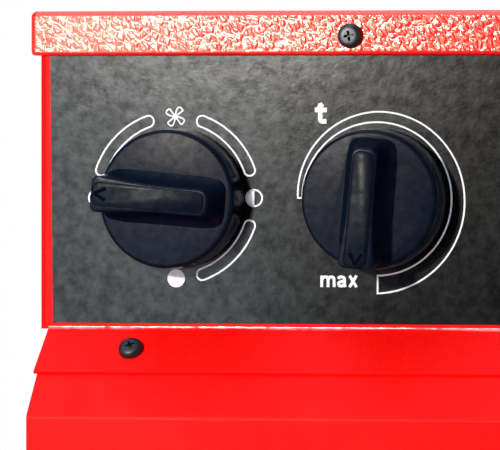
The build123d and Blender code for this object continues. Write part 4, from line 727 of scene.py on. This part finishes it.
# %% The two words, drawn stroke by stroke in a bold plain letter, in millimetres from its corner
LETTER_M = (
    ((0.50, 0.0), (0.50, 3.7)),
    ((0.62, 2.3), (0.95, 3.05), (1.65, 3.25), (2.40, 3.0), (2.58, 2.1), (2.58, 0.0)),
    ((2.70, 2.3), (3.00, 3.05), (3.70, 3.25), (4.40, 3.0), (4.58, 2.1), (4.58, 0.0)),
)
LETTER_A = (
    ((5.95, 2.65), (6.35, 3.15), (7.15, 3.28), (7.90, 2.95), (8.05, 2.1), (8.05, 0.95), (8.25, 0.0)),
    ((8.05, 2.0), (7.20, 1.85), (6.35, 1.55), (6.10, 0.95), (6.50, 0.42), (7.30, 0.45), (8.05, 1.1)),
)
LETTER_X = (((9.70, 0.0), (12.0, 3.7)), ((9.70, 3.7), (12.0, 0.0)))
LETTER_T = (
    ((1.80, 6.5), (1.80, 1.9), (1.95, 1.05), (2.60, 0.72), (3.85, 0.78)),
    ((0.0, 4.4), (3.95, 4.4)),
    ((1.15, 5.0), (2.62, 6.3)),
)


def word(name, letters, width, corner):
    """A word made of strokes; each lies a hair above the last, so that no two faces coincide."""
    strokes = []
    for points in letters:
        strokes.append(stroke(name, points, width, raised=HAIR * len(strokes)))
    return put_on_label(join(strokes, name), corner)


T_LINE, MAX_LINE = 1.5, 0.92
T_CORNER, MAX_CORNER = (-12.3 * MM, 350.4 * MM), (-10.5 * MM, 297.8 * MM)
word("temperature_word", LETTER_T, T_LINE, T_CORNER)
word("max_word", LETTER_M + LETTER_A + LETTER_X, MAX_LINE, MAX_CORNER)

# %% [markdown]
# ## The knobs
# Both knobs come from one mould: a drafted skirt, and across it a finger bar that is waisted in the
# middle and reaches past the skirt where it points. The bar starts as a box, cut across at a few
# places, so that its top can be pulled in and its ends sloped. A coloured strip is let into its top.

# %% Knob sizes
BASE_R, FACE_R, SKIRT_H, KNOB_H = 22.8 * MM, 22.3 * MM, 12.6 * MM, 24.0 * MM
EDGE_R, SKIRT_WALL, FACE_WALL = 1.3 * MM, 2.6 * MM, 2.4 * MM
BAR_LOW = SKIRT_H - 1.2 * MM
BAR_CORNER_R, BAR_TOP_R, HOLLOW_POWER = 2.6 * MM, 0.55 * MM, 3
BAR_CUTS = (-17.0, -13.0, -8.0, -3.0, 3.0, 8.0, 13.0, 17.0)
BAR_LEVELS = (0.1, 0.2, 0.35, 0.6)
TIP_BASE, TAIL_BASE = 20.9 * MM, -20.0 * MM
WAIST_X, WAIST_HALF_W, TIP_FLARE, FLARE_L = -3.0 * MM, 4.25 * MM, 1.9 * MM, 25 * MM
ROOT_HALF_W, ROOT_DRAW, ROOT_STRAIGHT, ROOT_L = 9.8 * MM, 2.6 * MM, 12 * MM, 9 * MM
TIP_TOP, TAIL_TOP = 22.3 * MM, -16.5 * MM
STRIP_TIP, STRIP_TAIL, STRIP_W, STRIP_DEEP = 21.8 * MM, -15.4 * MM, 7.1 * MM, 0.8 * MM
STRIP_CORNER_R, STRIP_FLARE = 2.3 * MM, 1.1
STRIP_GAP, STRIP_SUNK, CUT_PAST = 0.12 * MM, 0.08 * MM, 1 * MM
POINTS_LEFT, POINTS_DOWN = 175.0, 265.0
joint_place = {joint["name"]: joint.get("pos_m") for joint in frame["record"]["behaviour"]["joints"]}
SELECTOR_AXIS = Vector(joint_place["selector_turn"])
THERMOSTAT_AXIS = Vector(joint_place["thermostat_turn"])
print("knob axes at", [round(v / MM, 2) for v in (*SELECTOR_AXIS, *THERMOSTAT_AXIS)])


def top_half_width(along):
    """Half the bar's width at its top: even up to the middle, then wider towards the tip."""
    spread = max(0.0, along - WAIST_X) / FLARE_L
    return WAIST_HALF_W + TIP_FLARE * spread * spread


def base_half_width(along):
    """Half the bar's width where it grows out of the face: wide, drawn in towards both ends."""
    beyond = max(0.0, abs(along) - ROOT_STRAIGHT) / ROOT_L
    return ROOT_HALF_W - ROOT_DRAW * beyond * beyond


# %% The skirt
def make_skirt(name):
    clear_selection()
    centre = (0, 0, SKIRT_H / 2)
    bpy.ops.mesh.primitive_cylinder_add(vertices=96, radius=BASE_R, depth=SKIRT_H, location=centre)
    skirt = settle(new_piece(name))
    bpy.ops.object.mode_set(mode="EDIT")
    pick(skirt, "FACE", lambda c: c.z > SKIRT_H - NEAR)
    bpy.ops.transform.resize(value=(FACE_R / BASE_R, FACE_R / BASE_R, 1))
    bpy.ops.mesh.bevel(offset=EDGE_R, segments=6, affect="EDGES")
    pick(skirt, "FACE", lambda c: c.z < NEAR)
    bpy.ops.mesh.inset(thickness=SKIRT_WALL)
    bpy.ops.mesh.extrude_region_move(TRANSFORM_OT_translate={"value": (0, 0, SKIRT_H - FACE_WALL)})
    bpy.ops.object.mode_set(mode="OBJECT")
    return skirt


# %% The finger bar: its sides run out onto the face in a hollow curve
def make_bar(name):
    clear_selection()
    bpy.ops.mesh.primitive_cube_add(size=1)
    bar = new_piece(name)
    long, tall = TIP_BASE - TAIL_BASE, KNOB_H - BAR_LOW
    centre = Vector(((TIP_BASE + TAIL_BASE) / 2, 0, (BAR_LOW + KNOB_H) / 2))
    bar.data.transform(Matrix.Translation(centre) @ Matrix.Diagonal((long, 2 * ROOT_HALF_W, tall, 1)))
    cuts = [((cut * MM, 0, 0), (1, 0, 0)) for cut in BAR_CUTS]
    cuts += [((0, 0, BAR_LOW + level * tall), (0, 0, 1)) for level in BAR_LEVELS]
    take(bar)
    bpy.ops.object.mode_set(mode="EDIT")
    for point, normal in cuts:
        bpy.ops.mesh.select_all(action="SELECT")
        bpy.ops.mesh.bisect(plane_co=point, plane_no=normal)
    bpy.ops.object.mode_set(mode="OBJECT")
    corners = set()
    for vertex in bar.data.vertices:
        if min(abs(vertex.co.x - TIP_BASE), abs(vertex.co.x - TAIL_BASE)) < NEAR:
            corners.add(vertex.index)
        share, level = (vertex.co.x - TAIL_BASE) / long, (vertex.co.z - BAR_LOW) / tall
        along_top = TAIL_TOP + share * (TIP_TOP - TAIL_TOP)
        top, base = top_half_width(along_top), base_half_width(vertex.co.x)
        half = top + (base - top) * (1 - level) ** HOLLOW_POWER
        vertex.co.x += level * (along_top - vertex.co.x)
        vertex.co.y = half if vertex.co.y > 0 else -half
    bpy.ops.object.mode_set(mode="EDIT")
    cage = bmesh.from_edit_mesh(bar.data)
    bpy.ops.mesh.select_mode(type="EDGE")
    bpy.ops.mesh.select_all(action="DESELECT")
    for edge in cage.edges:
        first, last = edge.verts
        upright = first.co.y * last.co.y > 0 and abs(first.co.z - last.co.z) > 10 * NEAR
        edge.select = upright and first.index in corners and last.index in corners
    bmesh.update_edit_mesh(bar.data)
    bpy.ops.mesh.bevel(offset=BAR_CORNER_R, segments=5, affect="EDGES")
    pick(bar, "FACE", lambda c: c.z > KNOB_H - NEAR)
    bpy.ops.mesh.region_to_loop()
    bpy.ops.mesh.bevel(offset=BAR_TOP_R, segments=3, affect="EDGES")
    bpy.ops.object.mode_set(mode="OBJECT")
    return bar


# %% A flat block with rounded ends, used to cut the strip's seat and as the strip itself
def strip_block(name, gap, low, high):
    clear_selection()
    bpy.ops.mesh.primitive_cube_add(size=1)
    block = new_piece(name)
    long, wide = STRIP_TIP - STRIP_TAIL - 2 * gap, STRIP_W - 2 * gap
    middle = (STRIP_TIP + STRIP_TAIL) / 2
    block.data.transform(
        Matrix.Translation((middle, 0, (low + high) / 2)) @ Matrix.Diagonal((long, wide, high - low, 1))
    )
    for vertex in block.data.vertices:
        if vertex.co.x > 0:
            vertex.co.y *= STRIP_FLARE
    bpy.ops.object.mode_set(mode="EDIT")
    pick(block, "EDGE", lambda c: abs(c.z - (low + high) / 2) < NEAR)
    bpy.ops.mesh.bevel(offset=STRIP_CORNER_R - gap, segments=6, affect="EDGES")
    bpy.ops.object.mode_set(mode="OBJECT")
    return block


def cut_with(piece, cutter):
    """Subtract the cutter from the piece, and remove it."""
    use_modifier(piece, "BOOLEAN", operation="DIFFERENCE", object=cutter, solver="EXACT")
    bpy.data.objects.remove(cutter)
    return piece


def smooth(piece, degrees=35.0):
    take(piece)
    bpy.ops.object.shade_smooth_by_angle(angle=radians(degrees))
    return piece


# %% The engraved arrow head at the strip's tip: two grooves with sloping walls
ARROW_TIP, ARROW_ARM, ARROW_ANGLE, ARROW_LINE = 21.0 * MM, 4.2 * MM, 28.0, 0.95 * MM
ON_EDGE = 45


def engrave_arrow(strip):
    """Cut both arms; each groove leans one degree its own way, so that no two faces coincide."""
    reach, rise = ARROW_ARM / 2 * cos(radians(ARROW_ANGLE)), ARROW_ARM / 2 * sin(radians(ARROW_ANGLE))
    for side in (-1, 1):
        clear_selection()
        bpy.ops.mesh.primitive_cube_add(size=1)
        groove = new_piece("arrow_groove")
        turn = Matrix.Rotation(radians(-side * ARROW_ANGLE), 4, "Z")
        on_edge = Matrix.Rotation(radians(ON_EDGE + side), 4, "X")
        size = Matrix.Diagonal((ARROW_ARM, ARROW_LINE, ARROW_LINE, 1))
        middle = Matrix.Translation((ARROW_TIP - reach, side * rise, KNOB_H))
        groove.data.transform(middle @ turn @ on_edge @ size)
        cut_with(strip, groove)
    return strip


# %% Put one knob together, and copy it for the other control
def knob_place(axis, degrees):
    """From the knob's own frame, Z towards the user and X along its pointer, to the heater's."""
    turn = radians(degrees)
    pointer = Vector((cos(turn), 0, sin(turn)))
    out = Vector((0, -1, 0))
    across = out.cross(pointer)
    frame_matrix = Matrix((pointer, across, out)).transposed().to_4x4()
    return Matrix.Translation(axis) @ frame_matrix


def in_triangles(piece):
    """Split every face into triangles, so that a Boolean meets only flat faces."""
    take(piece)
    bpy.ops.object.mode_set(mode="EDIT")
    bpy.ops.mesh.select_all(action="SELECT")
    bpy.ops.mesh.quads_convert_to_tris()
    bpy.ops.object.mode_set(mode="OBJECT")
    return piece


knob_body = in_triangles(make_skirt("knob_body"))
bar = in_triangles(make_bar("knob_bar"))
use_modifier(knob_body, "BOOLEAN", operation="UNION", object=bar, solver="EXACT")
bpy.data.objects.remove(bar)
cut_with(knob_body, strip_block("strip_seat", 0.0, KNOB_H - STRIP_DEEP, KNOB_H + CUT_PAST))
strip = strip_block("knob_strip", STRIP_GAP, KNOB_H - STRIP_DEEP, KNOB_H - STRIP_SUNK)
use_modifier(strip, "BEVEL", width=STRIP_GAP, segments=2, limit_method="ANGLE", angle_limit=radians(50))
engrave_arrow(strip)
controls = (("selector", SELECTOR_AXIS, POINTS_LEFT), ("thermostat", THERMOSTAT_AXIS, POINTS_DOWN))
for control, axis, degrees in controls:
    for original, part_name, finish in (
        (knob_body, "knob", knob_plastic),
        (strip, "insert", insert_plastic),
    ):
        piece = own_copy(original)
        piece.name = f"{control}_{part_name}_moulded"
        piece.data.transform(knob_place(axis, degrees))
        smooth(piece)
        hand_over(piece, finish, control, "knob_plastic", f"{control}_{part_name}")
for original in (knob_body, strip):
    bpy.data.objects.remove(original)

# %% [markdown]
# ## Screws
# The pan-head screws are modelled once: a short cylinder whose top edge is rounded over, with a
# cross recess cut in by two tapered blades, and a plain shank. Every screw of the heater is a copy.

# %% One pan-head screw with a cross recess
HEAD_R, HEAD_H, SHANK_R, SHANK_L = 4.0 * MM, 2.6 * MM, 1.95 * MM, 9.0 * MM
HEAD_ROUND, HEAD_PROFILE = 1.9 * MM, 0.55
BLADE_L, BLADE_W, BLADE_H, BLADE_UP = 4.4 * MM, 1.0 * MM, 3.2 * MM, -0.2 * MM
BLADE_TAPER_L, BLADE_TAPER_W = 0.45, 0.6


def make_screw():
    clear_selection()
    centre = (0, 0, HEAD_H / 2)
    bpy.ops.mesh.primitive_cylinder_add(vertices=40, radius=HEAD_R, depth=HEAD_H, location=centre)
    screw = settle(new_piece("pan_screw"))
    bpy.ops.object.mode_set(mode="EDIT")
    pick(screw, "FACE", lambda c: c.z < NEAR)
    bpy.ops.mesh.inset(thickness=HEAD_R - SHANK_R)
    bpy.ops.mesh.extrude_region_move(TRANSFORM_OT_translate={"value": (0, 0, -SHANK_L)})
    pick(screw, "FACE", lambda c: c.z > HEAD_H - NEAR)
    bpy.ops.mesh.bevel(offset=HEAD_ROUND, segments=6, affect="EDGES", profile=HEAD_PROFILE)
    bpy.ops.object.mode_set(mode="OBJECT")
    for angle in (0.0, 90.0):
        clear_selection()
        bpy.ops.mesh.primitive_cube_add(size=1)
        cutter = new_piece("recess_blade")
        size = Matrix.Diagonal((BLADE_L, BLADE_W, BLADE_H, 1))
        cutter.data.transform(Matrix.Translation((0, 0, HEAD_H + BLADE_UP)) @ size)
        for vertex in cutter.data.vertices:
            if vertex.co.z < HEAD_H + BLADE_UP:
                vertex.co.x *= BLADE_TAPER_L
                vertex.co.y *= BLADE_TAPER_W
        cutter.data.transform(Matrix.Rotation(radians(angle), 4, "Z"))
        cut_with(screw, cutter)
    return smooth(screw, 32.0)


screw = make_screw()
print("screw", triangles(screw), "triangles")


# %% Where the screws go
def seat(x, y, z, out, turn):
    """Place of a screw: its seat in millimetres, the way its head points, and the cross's turn."""
    rotation = Vector((0, 0, 1)).rotation_difference(Vector(out)).to_matrix().to_4x4()
    spin = Matrix.Rotation(radians(turn), 4, "Z")
    return Matrix.Translation((x * MM, y * MM, z * MM)) @ rotation @ spin


def fit_screws(name, node_name, seats):
    """Copy the screw to every seat and join the copies into one piece."""
    copies = []
    for place in seats:
        copy = own_copy(screw)
        copy.data.transform(place)
        copies.append(copy)
    return hand_over(join(copies, name), black_screw, "heater", "black_screw", node_name)


# %% The console's screws: lid, flange and sides
def corners_mm(name):
    """A part's lowest and highest corners, in millimetres."""
    return [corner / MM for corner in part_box(name)]


LID_SCREW_UP, FLANGE_SCREW_X, FLANGE_SCREW_DOWN = 6.2, 71.7, 7.0
SIDE_SCREW_IN, SIDE_SCREW_UPS = 6, (20, 65)
SHEET = 1.0
lid_low, lid_high = corners_mm("console_lid")
cover_high = corners_mm("console_cover")[1]
roof_z = corners_mm("front_wrap")[1].z
panel_y = corners_mm("control_label")[1].y
lid_screw_z = lid_low.z + LID_SCREW_UP
flange_y = panel_y - FLANGE_SCREW_DOWN
flange_z = roof_z + (sqrt(2) - 1) * SHEET - FLANGE_SCREW_DOWN
console_seats = [
    seat(0, lid_low.y, lid_screw_z, (0, -1, 0), 8),
    seat(0, lid_high.y, lid_screw_z, (0, 1, 0), 30),
    seat(-FLANGE_SCREW_X, flange_y, flange_z, (0, -1, 1), 25),
    seat(FLANGE_SCREW_X, flange_y, flange_z, (0, -1, 1), 60),
]
for side in (-1, 1):
    for rise in SIDE_SCREW_UPS:
        side_place = (side * cover_high.x, cover_high.y - SIDE_SCREW_IN, roof_z + rise)
        console_seats.append(seat(*side_place, (side, 0, 0), rise))
fit_screws("console_screws_cross", "console_screws", console_seats)

# %% The casing's screws: round the grille and the guard, up the rear panel, under the tray, on the roof
GRILLE_SCREW_R, GUARD_SCREW_R, RING_SCREW_R = 80, 86, 87
GRILLE_SHEET, GUARD_TAB = 1.0, 1.5
EDGE_IN, CORNER_UP, TRAY_SCREW_Y, ROOF_SCREW_YS = 6, 12, 90, (40, 105)
front_y, base_z = corners_mm("front_wrap")[0].y, corners_mm("front_wrap")[0].z
rear_y = corners_mm("rear_panel")[1].y
edge_x = corners_mm("front_wrap")[1].x - EDGE_IN
fan_z = joint_place["fan_spin"][2] / MM
grille_step, guard_step = GRILLE_SCREW_R / sqrt(2), GUARD_SCREW_R / sqrt(2)
casing_seats = []
for side in (-1, 1):
    for level in (-1, 1):
        grille_place = (side * grille_step, front_y - GRILLE_SHEET, fan_z + level * grille_step)
        guard_place = (side * guard_step, rear_y + GUARD_TAB, fan_z + level * guard_step)
        rear_z = roof_z - CORNER_UP if level > 0 else base_z + CORNER_UP
        casing_seats.append(seat(*grille_place, (0, -1, 0), 20 * side))
        casing_seats.append(seat(*guard_place, (0, 1, 0), 35 * level))
        casing_seats.append(seat(side * edge_x, rear_y, rear_z, (0, 1, 0), 15 * side))
        casing_seats.append(seat(side * edge_x, level * TRAY_SCREW_Y, base_z, (0, 0, -1), 50 * level))
    casing_seats.append(seat(0, rear_y, fan_z + side * RING_SCREW_R, (0, 1, 0), 40))
    casing_seats += [seat(side * edge_x, y, roof_z, (0, 0, 1), y) for y in ROOF_SCREW_YS]
fit_screws("casing_screws_cross", "casing_screws", casing_seats)

# %% The handle's screws, two through each of its feet
HANDLE_SCREW_X, HANDLE_SCREW_YS, HANDLE_FOOT = 70, (55, 85), 3
handle_seats = []
for side in (-1, 1):
    for y in HANDLE_SCREW_YS:
        handle_seats.append(seat(side * HANDLE_SCREW_X, y, roof_z + HANDLE_FOOT, (0, 0, 1), y * side))
fit_screws("handle_screws_cross", "handle_screws", handle_seats)
bpy.data.objects.remove(screw)

# %% [markdown]
# ## Studio
# The photo was taken with a long lens, a little to the right of the panel's middle, in light that
# comes from the left. A small warm lamp there gives the glare on the hammered lid and the shadows
# beside the knobs, and a wide cool lamp above fills. What the front mirrors is kept dim, so that the
# black plastics stay black, but for two cards: one lays a sheen over the label's left half, and one
# lights the bends that look up.

# %% Floor
FLOOR_SIZE = 9.0
clear_selection()
bpy.ops.mesh.primitive_plane_add(size=FLOOR_SIZE, location=(0, 0, 0))
floor = new_piece("floor")
floor_finish = bpy.data.materials.new("floor_pale")
floor_finish.use_nodes = True
floor_shader = floor_finish.node_tree.nodes["Principled BSDF"]
floor_shader.inputs["Base Color"].default_value = (0.82, 0.82, 0.82, 1)
floor_shader.inputs["Roughness"].default_value = 0.9
floor.data.materials.append(floor_finish)
floor.visible_glossy = False


# %% Lamps
def area_lamp(name, size, power, colour, location, target):
    lamp = bpy.data.lights.new(name, "AREA")
    lamp.shape = "DISK"
    lamp.size = size
    lamp.energy = power
    lamp.color = colour
    holder = bpy.data.objects.new(name, lamp)
    bpy.context.scene.collection.objects.link(holder)
    holder.location = location
    holder.rotation_euler = (Vector(target) - Vector(location)).to_track_quat("-Z", "Y").to_euler()
    print(name, power, "watts")


SUN_WARM, SKY_COOL = (1.0, 0.95, 0.88), (0.60, 0.75, 1.0)
KEY_PLACE, KEY_TARGET = (-0.186, -0.677, 0.455), (-0.058, -0.097, 0.326)
TOP_PLACE, TOP_TARGET = (-0.2, -0.1, 1.8), (0, 0, 0.2)
area_lamp("key_lamp", 0.05, 3.6, SUN_WARM, KEY_PLACE, KEY_TARGET)
area_lamp("top_lamp", 1.2, 11.5, SKY_COOL, TOP_PLACE, TOP_TARGET)


# %% Two cards, seen only in reflections: a window beside the label, and a panel above the bends
def glossy_card(name, size, location, rotation, colour, strength):
    clear_selection()
    bpy.ops.mesh.primitive_plane_add(size=1, location=location, rotation=rotation)
    card = new_piece(name)
    card.scale = (*size, 1)
    glow = bpy.data.materials.new(name)
    glow.use_nodes = True
    shader = glow.node_tree.nodes["Principled BSDF"]
    shader.inputs["Base Color"].default_value = (0, 0, 0, 1)
    shader.inputs["Emission Color"].default_value = (*colour, 1)
    shader.inputs["Emission Strength"].default_value = strength
    card.data.materials.append(glow)
    for ray in ("camera", "diffuse", "transmission", "shadow"):
        setattr(card, "visible_" + ray, False)
    print(name, strength)


WINDOW_PLACE, WINDOW_TURN = (-0.228, -0.40, 0.36), (pi / 2, 0, 0)
OVERHEAD_PLACE, OVERHEAD_TURN = (-0.18, -0.50, 0.82), (radians(35), 0, 0)
glossy_card("window_card", (0.26, 0.34), WINDOW_PLACE, WINDOW_TURN, (0.85, 0.94, 1.0), 4.4)
glossy_card("overhead_card", (0.50, 0.60), OVERHEAD_PLACE, OVERHEAD_TURN, (0.80, 0.90, 1.0), 2.2)

# %% World: soft light on all sides, dim where the front's reflections look
SIDE_SHARE = 0.4
world = bpy.data.worlds.new("studio")
bpy.context.scene.world = world
world.use_nodes = True
sky = world.node_tree
sky.nodes.clear()
path = sky.nodes.new("ShaderNodeLightPath")
ambient = sky.nodes.new("ShaderNodeBackground")
ambient.inputs["Color"].default_value = (0.85, 0.92, 1.0, 1)
ambient.inputs["Strength"].default_value = 0.42
look = sky.nodes.new("ShaderNodeSeparateXYZ")
sky.links.new(sky.nodes.new("ShaderNodeTexCoord").outputs["Generated"], look.inputs[0])
behind = sky.nodes.new("ShaderNodeMapRange")
behind.interpolation_type = "SMOOTHSTEP"
behind.inputs["From Min"].default_value = 0.15
behind.inputs["From Max"].default_value = 0.7
behind.inputs["To Min"].default_value = 0.06
behind.inputs["To Max"].default_value = 0.9
sideways = math_node(sky, "MULTIPLY", math_node(sky, "ABSOLUTE", look.outputs["X"], 0.0), SIDE_SHARE)
sky.links.new(math_node(sky, "MAXIMUM", look.outputs["Y"], sideways), behind.inputs["Value"])
mirrored = sky.nodes.new("ShaderNodeBackground")
sky.links.new(behind.outputs["Result"], mirrored.inputs["Strength"])
backdrop = sky.nodes.new("ShaderNodeBackground")
backdrop.inputs["Strength"].default_value = 1.0
for background in (mirrored, backdrop):
    background.inputs["Color"].default_value = (1, 1, 1, 1)


def choose(factor, first, second):
    """Mix two backgrounds by a ray's kind."""
    mix = sky.nodes.new("ShaderNodeMixShader")
    sky.links.new(factor, mix.inputs["Fac"])
    sky.links.new(first.outputs[0], mix.inputs[1])
    sky.links.new(second.outputs[0], mix.inputs[2])
    return mix


lit = choose(path.outputs["Is Glossy Ray"], ambient, mirrored)
seen = math_node(sky, "ADD", path.outputs["Is Camera Ray"], path.outputs["Is Transmission Ray"])
world_out = sky.nodes.new("ShaderNodeOutputWorld")
sky.links.new(choose(seen, lit, backdrop).outputs[0], world_out.inputs["Surface"])

# %% Camera
CAMERA_AWAY = 3.0
CAMERA_TURN, CAMERA_RISE = radians(14.1), radians(0.6)
AIM_X, AIM_Z = -33.9 * MM, 317.7 * MM
SCALE_PX_PER_M = 3100.0
PHOTO_W = 500
aim = Vector((AIM_X, panel_y * MM, AIM_Z))
level_away = Vector((sin(CAMERA_TURN), -cos(CAMERA_TURN), 0))
away = level_away * cos(CAMERA_RISE) + Vector((0, 0, sin(CAMERA_RISE)))
camera_data = bpy.data.cameras.new("camera")
camera = bpy.data.objects.new("camera", camera_data)
bpy.context.scene.collection.objects.link(camera)
camera.location = aim + CAMERA_AWAY * away
camera.rotation_euler = (-away).to_track_quat("-Z", "Y").to_euler()
camera_data.lens = camera_data.sensor_width * CAMERA_AWAY * SCALE_PX_PER_M / PHOTO_W
camera_data.clip_end = 20 * CAMERA_AWAY
bpy.context.scene.camera = camera
bpy.context.scene.view_settings.view_transform = "Standard"
print("lens", round(camera_data.lens), "mm")
